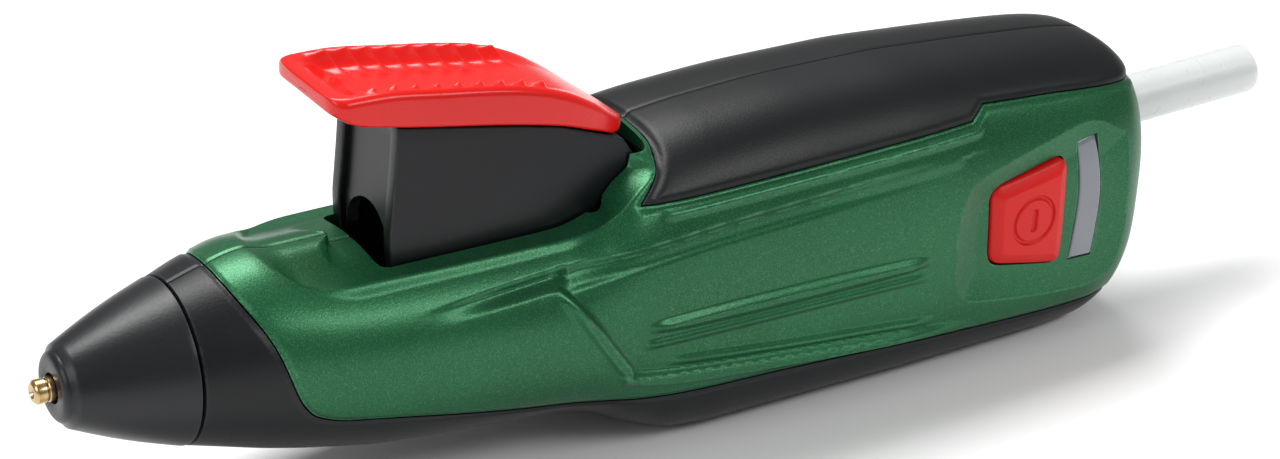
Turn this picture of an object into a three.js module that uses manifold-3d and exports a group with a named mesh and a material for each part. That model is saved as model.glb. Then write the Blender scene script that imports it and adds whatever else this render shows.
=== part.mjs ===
// Cordless pen glue gun: a clamshell body, a lever that feeds a glue stick into a heated chamber,
// a brass nozzle, and a battery with its board. Millimetres, +Z up. Everything is drawn from the
// nozzle tip, with +X towards the rear along the nose axis and the power button on the -Y side.
import * as THREE from "three";
import { mergeVertices } from "three/addons/utils/BufferGeometryUtils.js";
import Module from "manifold-3d";

const wasm = await Module();
wasm.setup();

// ---------------------------------------------------------------- driving dimensions

// Clearances shared by every fit.
const SEAM_GAP = 0.3; // between two shells that meet
const FIT_GAP = 0.15; // between fixed pieces that touch
const RUN_GAP = 0.4; // between pieces that move past each other

// Glue stick and the line it is fed along: it enters the chamber on the nose axis and
// rises towards the rear by a small angle.
const STICK_R = 3.55;
const STICK_FRONT_X = 40;
const STICK_OUT = 28.5; // stick past the rear face
const FEED_BEND_X = 45;
const FEED_RISE = THREE.MathUtils.degToRad(2.1);

// Feed lever.
const LEVER_PIVOT_X = 76.5;
const LEVER_PIVOT_Z = 14;
const LEVER_FRONT_X = 42.9; // front face at the deck
const LEVER_STROKE = THREE.MathUtils.degToRad(18);
const LEVER_WALL = 1.9;
const LEVER_HUB_R = 3;
const PIVOT_PIN_R = 1.5;
const CAP_OVERHANG = 0.7; // cap past the side plates
const FEED_TRAVEL = 6; // carriage travel at full stroke
const CARRIAGE_PIN_X = 60;
const CARRIAGE_PIN_R = 1.2;
const CARRIAGE_LENGTH = 8;
const CARRIAGE_WALL = 1.65; // stick to the outside of the carriage

// Heated nose.
const NOZZLE_R = 1.5;
const NOZZLE_BORE_R = 0.45;
const NOSE_FACE_X = 2.4;
const NOSE_FACE_R = 4.2;
const SEAM_X = 17; // nose cone meets the body
const NOSE_ROOM = 4.2; // chamber to the outside of that seam
const NOSE_WALL = 1.6;
const CHAMBER_WALL = 2;
const CHAMBER_REAR_X = 36;
const HEATER_LENGTH = 10;
const HEATER_THICKNESS = 1.6;

// Battery and its foam pad.
const BATTERY_R = 7;
const BATTERY_LENGTH = 50;
const BATTERY_FROM_PIVOT = 10.5;
const BATTERY_PAD = 1.1;

// Body skin.
const WALL = 2;
const TAIL_LENGTH = 21.5; // rear of the battery to the rear face
const HALF_WIDTH = 17.2;
const DECK_Z = 12.2;
const GRIP_TOP = 21;
const FOOT_FROM_PIVOT = 7.5; // where the flat foot begins

// Board, button and window, measured back from the rear face of the body.
const BOARD_LENGTH = 36.5;
const BOARD_THICKNESS = 1.2;
const BOARD_FROM_REAR = 4;
const BUTTON_FROM_REAR = 23.2;
const WINDOW_FROM_REAR = 12.5;
const BUTTON_TRAVEL = 0.6;

// ---------------------------------------------------------------- sizes that follow

// The body grows rearwards from the lever: the battery stands behind the pivot, the rear face
// behind the battery.
const BATTERY_FRONT_X = LEVER_PIVOT_X + BATTERY_FROM_PIVOT;
const BATTERY_REAR_X = BATTERY_FRONT_X + BATTERY_LENGTH;
const BODY_END = BATTERY_REAR_X + TAIL_LENGTH;
const STICK_REAR_X = BODY_END + STICK_OUT;
const FOOT_START_X = LEVER_PIVOT_X + FOOT_FROM_PIVOT;

const GUIDE_BORE_R = STICK_R + 0.55;
const GUIDE_R = GUIDE_BORE_R + 0.9;
const CARRIAGE_HALF = STICK_R + CARRIAGE_WALL;
const LEVER_INNER = CARRIAGE_HALF + RUN_GAP;
const LEVER_OUTER = LEVER_INNER + LEVER_WALL;
const POCKET_HALF = LEVER_OUTER + RUN_GAP;
const LEVER_RADIUS = LEVER_PIVOT_X - LEVER_FRONT_X;
const POCKET_FRONT_X = LEVER_FRONT_X - 1.4;
const CHAMBER_BORE_R = STICK_R + 0.65;
const CHAMBER_R = CHAMBER_BORE_R + CHAMBER_WALL;
const SEAM_R = CHAMBER_R + NOSE_ROOM;
const BATTERY_Z = feedZ(BATTERY_FRONT_X) - GUIDE_R - 0.55 - BATTERY_R;
const BASE_Z = BATTERY_Z - BATTERY_R - BATTERY_PAD - 2 * FIT_GAP - WALL;
const BUTTON_X = BODY_END - BUTTON_FROM_REAR;
const WINDOW_X = BODY_END - WINDOW_FROM_REAR;
const BOARD_REAR_X = BODY_END - BOARD_FROM_REAR;

// Height of the feed line at a place along the body.
function feedZ(x) {
  return (x - FEED_BEND_X) * Math.tan(FEED_RISE);
}

// ---------------------------------------------------------------- solids and basic shapes

function solid(geometry) {
  geometry.deleteAttribute("normal");
  geometry.deleteAttribute("uv");
  const merged = mergeVertices(geometry, 1e-4);
  const vertProperties = merged.attributes.position.array;
  const triVerts = new Uint32Array(merged.index.array);
  return new wasm.Manifold(new wasm.Mesh({ numProp: 3, vertProperties, triVerts }));
}

function geometryOf(manifold) {
  const mesh = manifold.getMesh();
  const position = new THREE.BufferAttribute(new Float32Array(mesh.vertProperties), 3);
  const geometry = new THREE.BufferGeometry().setAttribute("position", position);
  geometry.setIndex(new THREE.BufferAttribute(new Uint32Array(mesh.triVerts), 1));
  geometry.computeVertexNormals();
  return geometry;
}

function join(...solids) {
  return solids.reduce((sum, next) => sum.add(next));
}

function cut(body, ...tools) {
  return tools.reduce((left, tool) => left.subtract(tool), body);
}

function boxGeometry(x0, x1, y0, y1, z0, z1) {
  const geometry = new THREE.BoxGeometry(x1 - x0, y1 - y0, z1 - z0);
  return geometry.translate((x0 + x1) / 2, (y0 + y1) / 2, (z0 + z1) / 2);
}

function box(...limits) {
  return solid(boxGeometry(...limits));
}

// Round bar across the body, from y0 to y1 at the place (x, z).
function barAcross(radius, y0, y1, x, z, sides = 20) {
  const geometry = new THREE.CylinderGeometry(radius, radius, y1 - y0, sides);
  return solid(geometry.translate(x, (y0 + y1) / 2, z));
}

// Round bar along X on the nose axis.
function barAlong(radius, x0, x1, sides = 24) {
  const geometry = new THREE.CylinderGeometry(radius, radius, x1 - x0, sides).rotateZ(-Math.PI / 2);
  return solid(geometry.translate((x0 + x1) / 2, 0, 0));
}

// Turned piece about X: the profile is a closed loop of [x, radius].
function turned(profile, sides = 20) {
  const points = profile.map(([x, r]) => new THREE.Vector2(r, x));
  if (profile[0][1] > 0) points.push(points[0].clone());
  return new THREE.LatheGeometry(points, sides).rotateZ(-Math.PI / 2);
}

// Plate cut to an outline of [x, z] points, spanning y0 to y1.
function plate(points, y0, y1) {
  return solid(slabGeometry(points, y1 - y0).rotateX(Math.PI / 2).translate(0, y1, 0));
}

// Plate cut to an outline of [x, y] points, spanning z0 to z1.
function floorPlate(points, z0, z1) {
  return solid(slabGeometry(points, z1 - z0).translate(0, 0, z0));
}

function slabGeometry(points, depth) {
  const shape = new THREE.Shape(points.map(([u, v]) => new THREE.Vector2(u, v)));
  return new THREE.ExtrudeGeometry(shape, { depth, bevelEnabled: false });
}

// Tube of constant section along a smooth curve through points.
function rod(points, radius, sides, steps) {
  const path = new THREE.CatmullRomCurve3(points.map((p) => new THREE.Vector3(...p)));
  const shape = new THREE.Shape(ringPoints(radius, sides));
  return new THREE.ExtrudeGeometry(shape, { steps, extrudePath: path });
}

function ringPoints(radius, sides) {
  const points = [];
  for (let i = 0; i < sides; i++) {
    const angle = (2 * Math.PI * i) / sides;
    points.push(new THREE.Vector2(radius * Math.cos(angle), radius * Math.sin(angle)));
  }
  return points;
}

// Corners of an outline rounded by arcs of the given radius.
function roundedOutline(corners, radius, steps = 3) {
  const points = [];
  corners.forEach((corner, i) => {
    const here = new THREE.Vector2(...corner);
    const before = new THREE.Vector2(...corners[(i + corners.length - 1) % corners.length]);
    const after = new THREE.Vector2(...corners[(i + 1) % corners.length]);
    const start = here.clone().add(before.sub(here).setLength(radius));
    const end = here.clone().add(after.sub(here).setLength(radius));
    const arc = new THREE.QuadraticBezierCurve(start, here, end);
    arc.getPoints(steps).forEach((p) => points.push([p.x, p.y]));
  });
  return points;
}

// Outline moved outwards by a margin (inwards where it is negative), edge by edge.
function grown(points, margin) {
  const area = points.reduce((sum, [x, y], i) => {
    const [nx, ny] = points[(i + 1) % points.length];
    return sum + x * ny - nx * y;
  }, 0);
  const side = Math.sign(area) * margin;
  return points.map(([x, y], i) => {
    const [px, py] = points[(i + points.length - 1) % points.length];
    const [nx, ny] = points[(i + 1) % points.length];
    const a = new THREE.Vector2(y - py, px - x).normalize();
    const b = new THREE.Vector2(ny - y, x - nx).normalize();
    const normal = a.clone().add(b).normalize();
    const reach = side / Math.max(normal.dot(a), 0.5);
    return [x + normal.x * reach, y + normal.y * reach];
  });
}

// Smooth curve through [x, z] points, as a list of points.
function smooth(points, steps) {
  const curve = new THREE.SplineCurve(points.map((p) => new THREE.Vector2(...p)));
  return curve.getPoints(steps).map((p) => [p.x, p.y]);
}

// Thin strip of constant width that follows a line of points.
function ribbon(line, width) {
  const sides = [1, -1].map((side) =>
    line.map(([x, z], i) => {
      const [ax, az] = line[Math.max(i - 1, 0)];
      const [bx, bz] = line[Math.min(i + 1, line.length - 1)];
      const normal = new THREE.Vector2(az - bz, bx - ax).setLength((side * width) / 2);
      return [x + normal.x, z + normal.y];
    }),
  );
  return [...sides[0], ...sides[1].reverse()];
}

// ---------------------------------------------------------------- scene graph helpers

const glueGun = new THREE.Group();

// Everything on the feed line hangs under this group: its own X axis is the line.
const feedLine = new THREE.Group();
feedLine.position.set(FEED_BEND_X, 0, 0);
feedLine.rotation.y = -FEED_RISE;
glueGun.add(feedLine);

// The lever and its cap turn about the pivot.
const lever = new THREE.Group();
lever.position.set(LEVER_PIVOT_X, 0, LEVER_PIVOT_Z);
glueGun.add(lever);

function onFeedLine(manifold) {
  feedLine.updateMatrix();
  return solid(geometryOf(manifold).applyMatrix4(feedLine.matrix));
}

// Place along the feed line of a station x of the body.
function alongFeed(x) {
  return (x - FEED_BEND_X) / Math.cos(FEED_RISE);
}

function material(color, roughness, metalness = 0) {
  return new THREE.MeshStandardMaterial({ color, roughness, metalness });
}

function addPart(parent, name, shape, finish) {
  const mesh = new THREE.Mesh(shape.isBufferGeometry ? shape : geometryOf(shape), finish);
  mesh.name = name;
  parent.add(mesh);
  return mesh;
}

const green = material(0x2f6b4a, 0.4);
const black = material(0x24272b, 0.55);
const softBlack = material(0x2c2f33, 0.7);
const red = material(0xd62b1f, 0.35);
const brass = material(0xc9a24a, 0.3, 1);
const aluminium = material(0xb9bcc0, 0.45, 1);
const steel = material(0x9aa0a6, 0.35, 1);
const ceramic = material(0xe6e2da, 0.6);
const heatPlastic = material(0x3a342e, 0.6);
const silicone = material(0xb8503a, 0.7);
const glue = material(0xe9e7df, 0.35);
const boardGreen = material(0x1f5a35, 0.5);
const windowGrey = material(0x9aa0a8, 0.25);
const cellBlue = material(0x2a5fa8, 0.4);
const foam = material(0x55585c, 0.95);
const wireRed = material(0xb3201a, 0.5);
const wireBlack = material(0x1b1c1e, 0.5);
const lampGlass = material(0xdfe8d8, 0.3);

// ---------------------------------------------------------------- body skin

// Stations of the skin from front to rear: place, top, bottom, half-width, height of the widest
// point, and how square the section is above and below it (2 is an ellipse).
const STATIONS = [
  [SEAM_X, SEAM_R, -SEAM_R, SEAM_R, 0, 2, 2],
  [SEAM_X + 4.5, SEAM_R + 1.4, -SEAM_R - 1.1, SEAM_R + 1.5, 0, 2.05, 2.05],
  [SEAM_X + 10, DECK_Z + 0.7, -12.8, HALF_WIDTH - 3.8, 0, 2.1, 2.15],
  [SEAM_X + 16, DECK_Z + 0.2, -13.9, HALF_WIDTH - 2.6, -0.2, 2.2, 2.25],
  [POCKET_FRONT_X, DECK_Z, -15, HALF_WIDTH - 1.6, -0.5, 2.2, 2.45],
  [LEVER_PIVOT_X - 21.5, DECK_Z, -15.6, HALF_WIDTH - 0.8, -1, 2.2, 2.65],
  [LEVER_PIVOT_X - 11.5, DECK_Z + 0.3, BASE_Z + 5.3, HALF_WIDTH - 0.4, -1.2, 2.25, 2.8],
  [LEVER_PIVOT_X - 6.5, DECK_Z + 2.6, BASE_Z + 4.2, HALF_WIDTH - 0.2, -1.4, 2.4, 3],
  [LEVER_PIVOT_X - 1.5, GRIP_TOP - 2.8, BASE_Z + 2, HALF_WIDTH - 0.1, -1.5, 2.6, 3.4],
  [FOOT_START_X - 2.5, GRIP_TOP - 1.4, BASE_Z - 0.2, HALF_WIDTH, -1.5, 2.7, 3.8],
  [FOOT_START_X + 4, GRIP_TOP - 0.7, BASE_Z - 0.6, HALF_WIDTH, -1.5, 2.7, 4],
  [FOOT_START_X + 19, GRIP_TOP, BASE_Z - 0.6, HALF_WIDTH, -1.5, 2.7, 4],
  [BODY_END - 43, GRIP_TOP, BASE_Z - 0.6, HALF_WIDTH, -1.6, 2.7, 4],
  [BODY_END - 31, GRIP_TOP - 0.6, BASE_Z - 0.6, HALF_WIDTH - 0.3, -1.8, 2.7, 4],
  [BODY_END - 18.5, GRIP_TOP - 1.5, BASE_Z - 0.6, HALF_WIDTH - 0.7, -2, 2.7, 4],
  [BODY_END - 10, GRIP_TOP - 2.3, BASE_Z - 0.5, HALF_WIDTH - 1.2, -2, 2.7, 3.8],
  [BODY_END - 5, GRIP_TOP - 3.2, BASE_Z + 0.6, HALF_WIDTH - 2, -2, 2.7, 3.4],
  [BODY_END - 2, GRIP_TOP - 4.8, BASE_Z + 3, HALF_WIDTH - 3.4, -2, 2.7, 3.2],
  [BODY_END, GRIP_TOP - 8, BASE_Z + 6.6, HALF_WIDTH - 6, -2, 2.7, 3],
];

// Values of the section at x, by a monotone cubic through the stations.
function sectionAt(x) {
  const last = STATIONS.length - 1;
  const place = Math.min(Math.max(x, STATIONS[0][0]), STATIONS[last][0]);
  let i = 0;
  while (i < last - 1 && place > STATIONS[i + 1][0]) i += 1;
  const span = STATIONS[i + 1][0] - STATIONS[i][0];
  const t = (place - STATIONS[i][0]) / span;
  const [, top, bottom, half, mid, up, down] = STATIONS[i].map((value, column) => {
    const next = STATIONS[i + 1][column];
    const m0 = slopeAt(i, column) * span;
    const m1 = slopeAt(i + 1, column) * span;
    const rise = next - value;
    return value + t * m0 + t * t * (3 * rise - 2 * m0 - m1) + t * t * t * (m0 + m1 - 2 * rise);
  });
  return { top, bottom, half, mid, up, down };
}

// Slope of one column at a station: zero at a turning point, so the curve never overshoots.
function slopeAt(i, column) {
  if (i === 0 || i === STATIONS.length - 1) return endSlope(i, column);
  const before = chordSlope(i - 1, column);
  const after = chordSlope(i, column);
  return before * after <= 0 ? 0 : (2 * before * after) / (before + after);
}

function chordSlope(i, column) {
  const [a, b] = [STATIONS[i], STATIONS[i + 1]];
  return (b[column] - a[column]) / (b[0] - a[0]);
}

function endSlope(i, column) {
  return chordSlope(i === 0 ? 0 : i - 1, column);
}

// Half-width of the inside of the wall at the place (x, z), above the widest point.
function wallInsideAt(x, z) {
  const { top, half, mid, up } = sectionAt(x);
  const upright = ((z - mid) / (top - WALL - mid)) ** (up / 2);
  return (half - WALL) * Math.sqrt(1 - upright * upright) ** (2 / up);
}

// Closed loft through the given stations, its skin moved in by an inset.
function loft(places, inset, ring) {
  const rows = places.length - 1;
  const geometry = new THREE.CylinderGeometry(1, 1, rows, ring, rows);
  const position = geometry.attributes.position;
  for (let i = 0; i < position.count; i++) {
    const x = places[Math.round(position.getY(i) + rows / 2)];
    const section = sectionAt(x);
    const across = position.getX(i);
    const upright = position.getZ(i);
    const reach = Math.hypot(across, upright);
    const power = 2 / (upright >= 0 ? section.up : section.down);
    const height = upright >= 0 ? section.top - section.mid : section.mid - section.bottom;
    const y = -Math.sign(across) * Math.abs(across) ** power * (section.half - inset);
    const z = Math.sign(upright) * Math.abs(upright) ** power * (height - inset);
    position.setXYZ(i, x, reach > 0.5 ? y : 0, section.mid + (reach > 0.5 ? z : 0));
  }
  return solid(geometry);
}

function placesBetween(from, to) {
  const inside = STATIONS.map((station) => station[0]).filter((x) => x > from + 1 && x < to - 1);
  return [from, ...inside, to];
}

const SKIN_PLACES = placesBetween(SEAM_X + SEAM_GAP, BODY_END);
const FAR = 60; // past every face of the body
const base = box(-FAR, BODY_END + FAR, -FAR, FAR, BASE_Z - FAR, BASE_Z);
const skin = cut(loft(SKIN_PLACES, 0, 28), base);
const core = loft(SKIN_PLACES, WALL / 2, 16);
const hollow = loft(placesBetween(SEAM_X - 2, BODY_END - WALL), WALL, 20);

// Line between the black underbody and the green shells: down the front, then back to the rear.
const UNDER_LINE = smooth(
  [
    [SEAM_X + 3.5, DECK_Z + 6],
    [SEAM_X + 5, DECK_Z - 0.3],
    [SEAM_X + 8.4, 5.6],
    [SEAM_X + 11.6, -2.6],
    [SEAM_X + 15.5, -5.5],
    [POCKET_FRONT_X, -7],
    [LEVER_PIVOT_X - 7.5, -11.9],
    [FOOT_START_X + 16, BASE_Z + 7.8],
    [BODY_END - 27, BASE_Z + 5.8],
    [BODY_END + 5, BASE_Z + 4.2],
  ],
  26,
);
const underZone = plate(
  [...UNDER_LINE, [BODY_END + 5, -FAR], [-FAR, -FAR], [-FAR, FAR], [SEAM_X + 3.5, FAR]],
  -FAR,
  FAR,
);

// Line round the grip: up the arch behind the lever from the grip's front tip, and back along
// its lower edge, which steps up before the rear.
const GRIP_TIP = [LEVER_PIVOT_X - 1.7, DECK_Z + 1];
const ARCH_LINE = smooth(
  [
    GRIP_TIP,
    [LEVER_PIVOT_X + 1.4, GRIP_TOP - 5.2],
    [LEVER_PIVOT_X + 2.7, GRIP_TOP - 3.6],
    [LEVER_PIVOT_X + 3.6, GRIP_TOP - 1.6],
    [LEVER_PIVOT_X + 4.6, GRIP_TOP + 5],
  ],
  10,
);
const GRIP_EDGE = [
  GRIP_TIP,
  [LEVER_PIVOT_X + 21, DECK_Z + 1.6],
  [BODY_END - 32.5, DECK_Z + 2.3],
  [BODY_END - 30, DECK_Z + 3.8],
  [BODY_END - 17.5, DECK_Z + 2.9],
  [BODY_END + 5, DECK_Z + 0.8],
];
const gripZone = plate(
  [...ARCH_LINE.toReversed(), ...GRIP_EDGE.slice(1), [BODY_END + 5, FAR]],
  -FAR,
  FAR,
);
const seams = join(
  plate(ribbon(UNDER_LINE, SEAM_GAP), -FAR, FAR),
  plate(ribbon(ARCH_LINE, SEAM_GAP), -FAR, FAR),
  plate(ribbon(GRIP_EDGE, SEAM_GAP), -FAR, FAR),
);

// ---------------------------------------------------------------- place of the board

// From the wall inwards: the button's flange, its travel, the switch, then the board.
const BUTTON_TOP_Z = 7.2;
const FLANGE_LIP = 0.9;
const FLANGE_THICKNESS = 0.6;
const FLANGE_ROOM = 0.165; // flange to the wall in front of it
const PRESS_GAP = 0.35; // button to the plunger at rest
const SWITCH_DEPTH = 3;
const flangeTop = BUTTON_TOP_Z + FLANGE_LIP;
const FLANGE_Y = wallInsideAt(BUTTON_X + 6.1, flangeTop) - FLANGE_ROOM - FLANGE_THICKNESS;
const SWITCH_FACE_Y = FLANGE_Y - BUTTON_TRAVEL - PRESS_GAP;
const BOARD_Y = SWITCH_FACE_Y - SWITCH_DEPTH - FIT_GAP; // outer face of the board
// A cell too wide for the middle stands to the far side of the board.
const BATTERY_Y = Math.max(0, BATTERY_R + RUN_GAP - (BOARD_Y - BOARD_THICKNESS));
const TAB_HEIGHT = 3;
const BOARD_BOTTOM = BATTERY_Z + TAB_HEIGHT / 2 + 0.5;
const BOARD_TOP = 8.8;


// ---------------------------------------------------------------- ribs and bosses in the shells

// Rib across the inside of the body between two stations.
function rib(x0, x1) {
  return core.intersect(box(x0, x1, -FAR, FAR, -FAR, FAR));
}

const COLLAR_X = CHAMBER_REAR_X - 5;
const COLLAR_R = CHAMBER_R + 2.8;
const GUIDE_FLANGE_X = CHAMBER_REAR_X + 3.4;
const FRONT_RIB_X = BATTERY_FRONT_X - 5;
const REAR_RIB_X = BATTERY_REAR_X + 1.5;

const guideChannel = onFeedLine(
  barAlong(GUIDE_R + FIT_GAP, alongFeed(LEVER_PIVOT_X), alongFeed(BODY_END + FAR)),
);
const noseChannel = barAlong(COLLAR_R + FIT_GAP, SEAM_X, LEVER_FRONT_X);
// Room for the wires along the button side, and for the board, button and window behind them.
const WIRE_R = 0.5;
const WIRE_LANES = { upper: 3.2, lower: 0.4 }; // heights of the two heater wires
const WIRE_ROOM = 2;
const wireNotch = box(
  SEAM_X,
  FRONT_RIB_X + 8,
  -HALF_WIDTH + 4,
  -COLLAR_R + WIRE_ROOM,
  WIRE_LANES.lower - WIRE_ROOM,
  WIRE_LANES.upper + WIRE_ROOM,
);
const boardNotch = box(
  REAR_RIB_X - 1,
  REAR_RIB_X + 3,
  -FAR,
  BOARD_THICKNESS + 0.6 - BOARD_Y,
  BOARD_BOTTOM - 1,
  BOARD_TOP + 0.8,
);
const ribs = cut(
  join(
    rib(COLLAR_X + 1, COLLAR_X + 2.2),
    rib(GUIDE_FLANGE_X + 0.2, GUIDE_FLANGE_X + 1.4),
    rib(FRONT_RIB_X, FRONT_RIB_X + 2),
    rib(REAR_RIB_X, REAR_RIB_X + 2),
  ),
  guideChannel,
  noseChannel,
  wireNotch,
  boardNotch,
);

// Seats of the lever's pivot pin, one on each side wall.
const PIN_SEAT_LENGTH = 2.5;
const PIN_HALF = POCKET_HALF + PIN_SEAT_LENGTH;
const pinSeats = core.intersect(
  join(
    barAcross(PIVOT_PIN_R + 1.8, POCKET_HALF + 0.1, FAR, LEVER_PIVOT_X, LEVER_PIVOT_Z),
    barAcross(PIVOT_PIN_R + 1.8, -FAR, -POCKET_HALF - 0.1, LEVER_PIVOT_X, LEVER_PIVOT_Z),
  ),
);
const pinBore = barAcross(PIVOT_PIN_R + FIT_GAP, -PIN_HALF, PIN_HALF, LEVER_PIVOT_X, LEVER_PIVOT_Z);

// Screws that close the shells: each goes through a boss on the far side into one on the
// button side.
const SCREW_R = 1.1;
const SCREW_HEAD_R = 2.1;
const SCREW_SEAT_Y = 9;
const SCREW_LENGTH = 14;
const SCREW_BOSS_R = SCREW_HEAD_R + 1;
const SCREW_PLACES = [
  [POCKET_FRONT_X + 4.5, -11.3],
  [LEVER_PIVOT_X + 1, -8.6],
  [BATTERY_FRONT_X + 1, GRIP_EDGE[0][1] - SCREW_BOSS_R],
  [BODY_END - 25.5, GRIP_EDGE[3][1] - SCREW_BOSS_R - 1.2],
  [BODY_END - 12.5, BASE_Z + 9],
];
const screwBosses = SCREW_PLACES.map(([x, z]) => {
  const headBoss = barAcross(SCREW_BOSS_R, 0, FAR, x, z, 12);
  const tipBoss = barAcross(SCREW_R + 1.3, -FAR, 0, x, z, 12);
  return core.intersect(join(headBoss, tipBoss)).subtract(guideChannel);
});
const screwHoles = SCREW_PLACES.map(([x, z]) =>
  join(
    barAcross(SCREW_R + FIT_GAP, -6, SCREW_SEAT_Y + 0.1, x, z, 8),
    barAcross(SCREW_HEAD_R + 0.3, SCREW_SEAT_Y, FAR, x, z, 12),
  ),
);

// ---------------------------------------------------------------- openings in the shells

// Pocket in the deck that the lever sinks into.
const pocket = floorPlate(
  roundedOutline(
    [
      [POCKET_FRONT_X, -POCKET_HALF],
      [LEVER_PIVOT_X + 2.5, -POCKET_HALF],
      [LEVER_PIVOT_X + 2.5, POCKET_HALF],
      [POCKET_FRONT_X, POCKET_HALF],
    ],
    1.5,
  ),
  LEVER_PIVOT_Z - 8,
  GRIP_TOP + 10,
);

const BUTTON_OUTLINE = roundedOutline(
  [
    [BUTTON_X - 6.6, 4.9],
    [BUTTON_X + 6.1, BUTTON_TOP_Z],
    [BUTTON_X + 6.8, -8.8],
    [BUTTON_X - 5.8, -6.2],
  ],
  2,
);
const buttonHole = plate(grown(BUTTON_OUTLINE, RUN_GAP), -FAR, -2);

// Light window: a slim upright strip with bowed sides.
const WINDOW_OUTLINE = [
  ...smooth([[WINDOW_X - 2.1, 8.2], [WINDOW_X - 1.3, 0], [WINDOW_X - 1.9, -9.1]], 6),
  ...smooth([[WINDOW_X + 2.3, -9.4], [WINDOW_X + 2.8, 0], [WINDOW_X + 1.2, 8.8]], 6),
];
const windowHole = plate(grown(WINDOW_OUTLINE, SEAM_GAP / 2), -FAR, -2);

// Charging socket in the rear face, below the stick and on the board's inner face.
const SOCKET_Y = -BOARD_Y + BOARD_THICKNESS + FIT_GAP;
const SOCKET_DEPTH = 2.8;
const SOCKET_HIGH = 7.4;
const SOCKET_Z = BOARD_BOTTOM;
const SOCKET_LENGTH = 6;
const socketHole = box(
  BODY_END - WALL - 1,
  BODY_END + 1,
  SOCKET_Y - 0.3,
  SOCKET_Y + SOCKET_DEPTH + 0.3,
  SOCKET_Z - 0.3,
  SOCKET_Z + SOCKET_HIGH + 0.3,
);
const BUSH_R = GUIDE_R + 0.8;
const entryHole = onFeedLine(
  barAlong(BUSH_R + FIT_GAP, alongFeed(BODY_END - WALL - 2), alongFeed(BODY_END + 5)),
);

// ---------------------------------------------------------------- shells

const boardBosses = [6.5, -4.4].map((z) => [BOARD_REAR_X - BOARD_LENGTH + 3.5, z]);
const boardPosts = core.intersect(
  join(...boardBosses.map(([x, z]) => barAcross(2.2, -FAR, -BOARD_Y - FIT_GAP, x, z, 14))),
);
const boardPilots = join(
  ...boardBosses.map(([x, z]) => barAcross(1, -BOARD_Y - 4.5, -BOARD_Y + 1, x, z, 10)),
);

const walls = cut(skin, hollow);
const [underBoss, ...housingBosses] = screwBosses;
const body = cut(
  join(walls, ribs, pinSeats, boardPosts),
  seams,
  pocket,
  pinBore,
  boardPilots,
  buttonHole,
  windowHole,
  socketHole,
  entryHole,
);
const shells = {
  housing: join(body.subtract(underZone).subtract(gripZone), ...housingBosses),
  underbody: join(body.intersect(underZone), underBoss),
  grip: body.intersect(gripZone),
};
const halves = {
  left: box(-FAR, BODY_END + FAR, -FAR, -SEAM_GAP / 2, -FAR, FAR),
  right: box(-FAR, BODY_END + FAR, SEAM_GAP / 2, FAR, -FAR, FAR),
};
const shellFinish = { housing: green, underbody: black, grip: softBlack };
for (const [name, shell] of Object.entries(shells)) {
  for (const [side, half] of Object.entries(halves)) {
    const piece = cut(shell, ...screwHoles).intersect(half);
    addPart(glueGun, name + "_" + side, largestBody(piece), shellFinish[name]);
  }
}

// A rib or seat that a seam cuts off a shell leaves loose crumbs: only the shell itself is kept.
function largestBody(piece) {
  const bodies = piece.decompose();
  return bodies.reduce((best, next) => (next.volume() > best.volume() ? next : best));
}

function addScrew(name, x, y, z, length, radius, headRadius) {
  const shank = new THREE.CylinderGeometry(radius, radius * 0.6, length, 8);
  const head = new THREE.CylinderGeometry(headRadius * 0.8, headRadius, 1.4, 12);
  const slotWidth = headRadius * 0.35;
  const slot = new THREE.BoxGeometry(headRadius * 1.2, 0.8, slotWidth);
  const cross = new THREE.BoxGeometry(slotWidth, 0.8, headRadius * 1.2);
  const body = join(
    solid(shank.translate(0, -length / 2 + 0.1, 0)),
    solid(head.translate(0, 0.7, 0)),
  );
  const drive = join(solid(slot.translate(0, 1.3, 0)), solid(cross.translate(0, 1.3, 0)));
  const screw = addPart(glueGun, name, cut(body, drive), steel);
  screw.position.set(x, y, z);
}

SCREW_PLACES.forEach(([x, z], i) => {
  addScrew("housing_screw_" + (i + 1), x, SCREW_SEAT_Y + FIT_GAP, z, SCREW_LENGTH, SCREW_R, SCREW_HEAD_R);
});
boardBosses.forEach(([x, z], i) => {
  const y = -BOARD_Y + BOARD_THICKNESS + FIT_GAP;
  addScrew("board_screw_" + (i + 1), x, y, z, 5, 0.8, 1.7);
});

// ---------------------------------------------------------------- heated nose

// Inside radius of the nose cone at x: its outside line moved in by the wall.
const NOSE_SLOPE = (SEAM_R - NOSE_FACE_R) / (SEAM_X - NOSE_FACE_X);
function noseInside(x) {
  return NOSE_FACE_R + (x - NOSE_FACE_X) * NOSE_SLOPE - NOSE_WALL * Math.hypot(1, NOSE_SLOPE);
}
function noseInsideAt(radius) {
  return NOSE_FACE_X + (radius - NOSE_FACE_R + NOSE_WALL * Math.hypot(1, NOSE_SLOPE)) / NOSE_SLOPE;
}

const LIP_R = SEAM_R - WALL - 0.3;
const LIP_WALL = 0.8;
const noseProfile = [
  [NOSE_FACE_X, NOZZLE_R + RUN_GAP],
  [NOSE_FACE_X, NOSE_FACE_R - 0.9],
  [NOSE_FACE_X + 0.25, NOSE_FACE_R - 0.3],
  [NOSE_FACE_X + 0.9, NOSE_FACE_R + 0.25],
  [SEAM_X, SEAM_R],
  [SEAM_X, LIP_R],
  [SEAM_X + 1.6, LIP_R],
  [SEAM_X + 1.6, LIP_R - LIP_WALL],
  [noseInsideAt(LIP_R - LIP_WALL), LIP_R - LIP_WALL],
  [NOSE_FACE_X + 2.2, noseInside(NOSE_FACE_X + 2.2)],
  [NOSE_FACE_X + 1.6, NOZZLE_R + RUN_GAP],
];
addPart(glueGun, "nose_cone", turned(noseProfile, 28), black);

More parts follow.
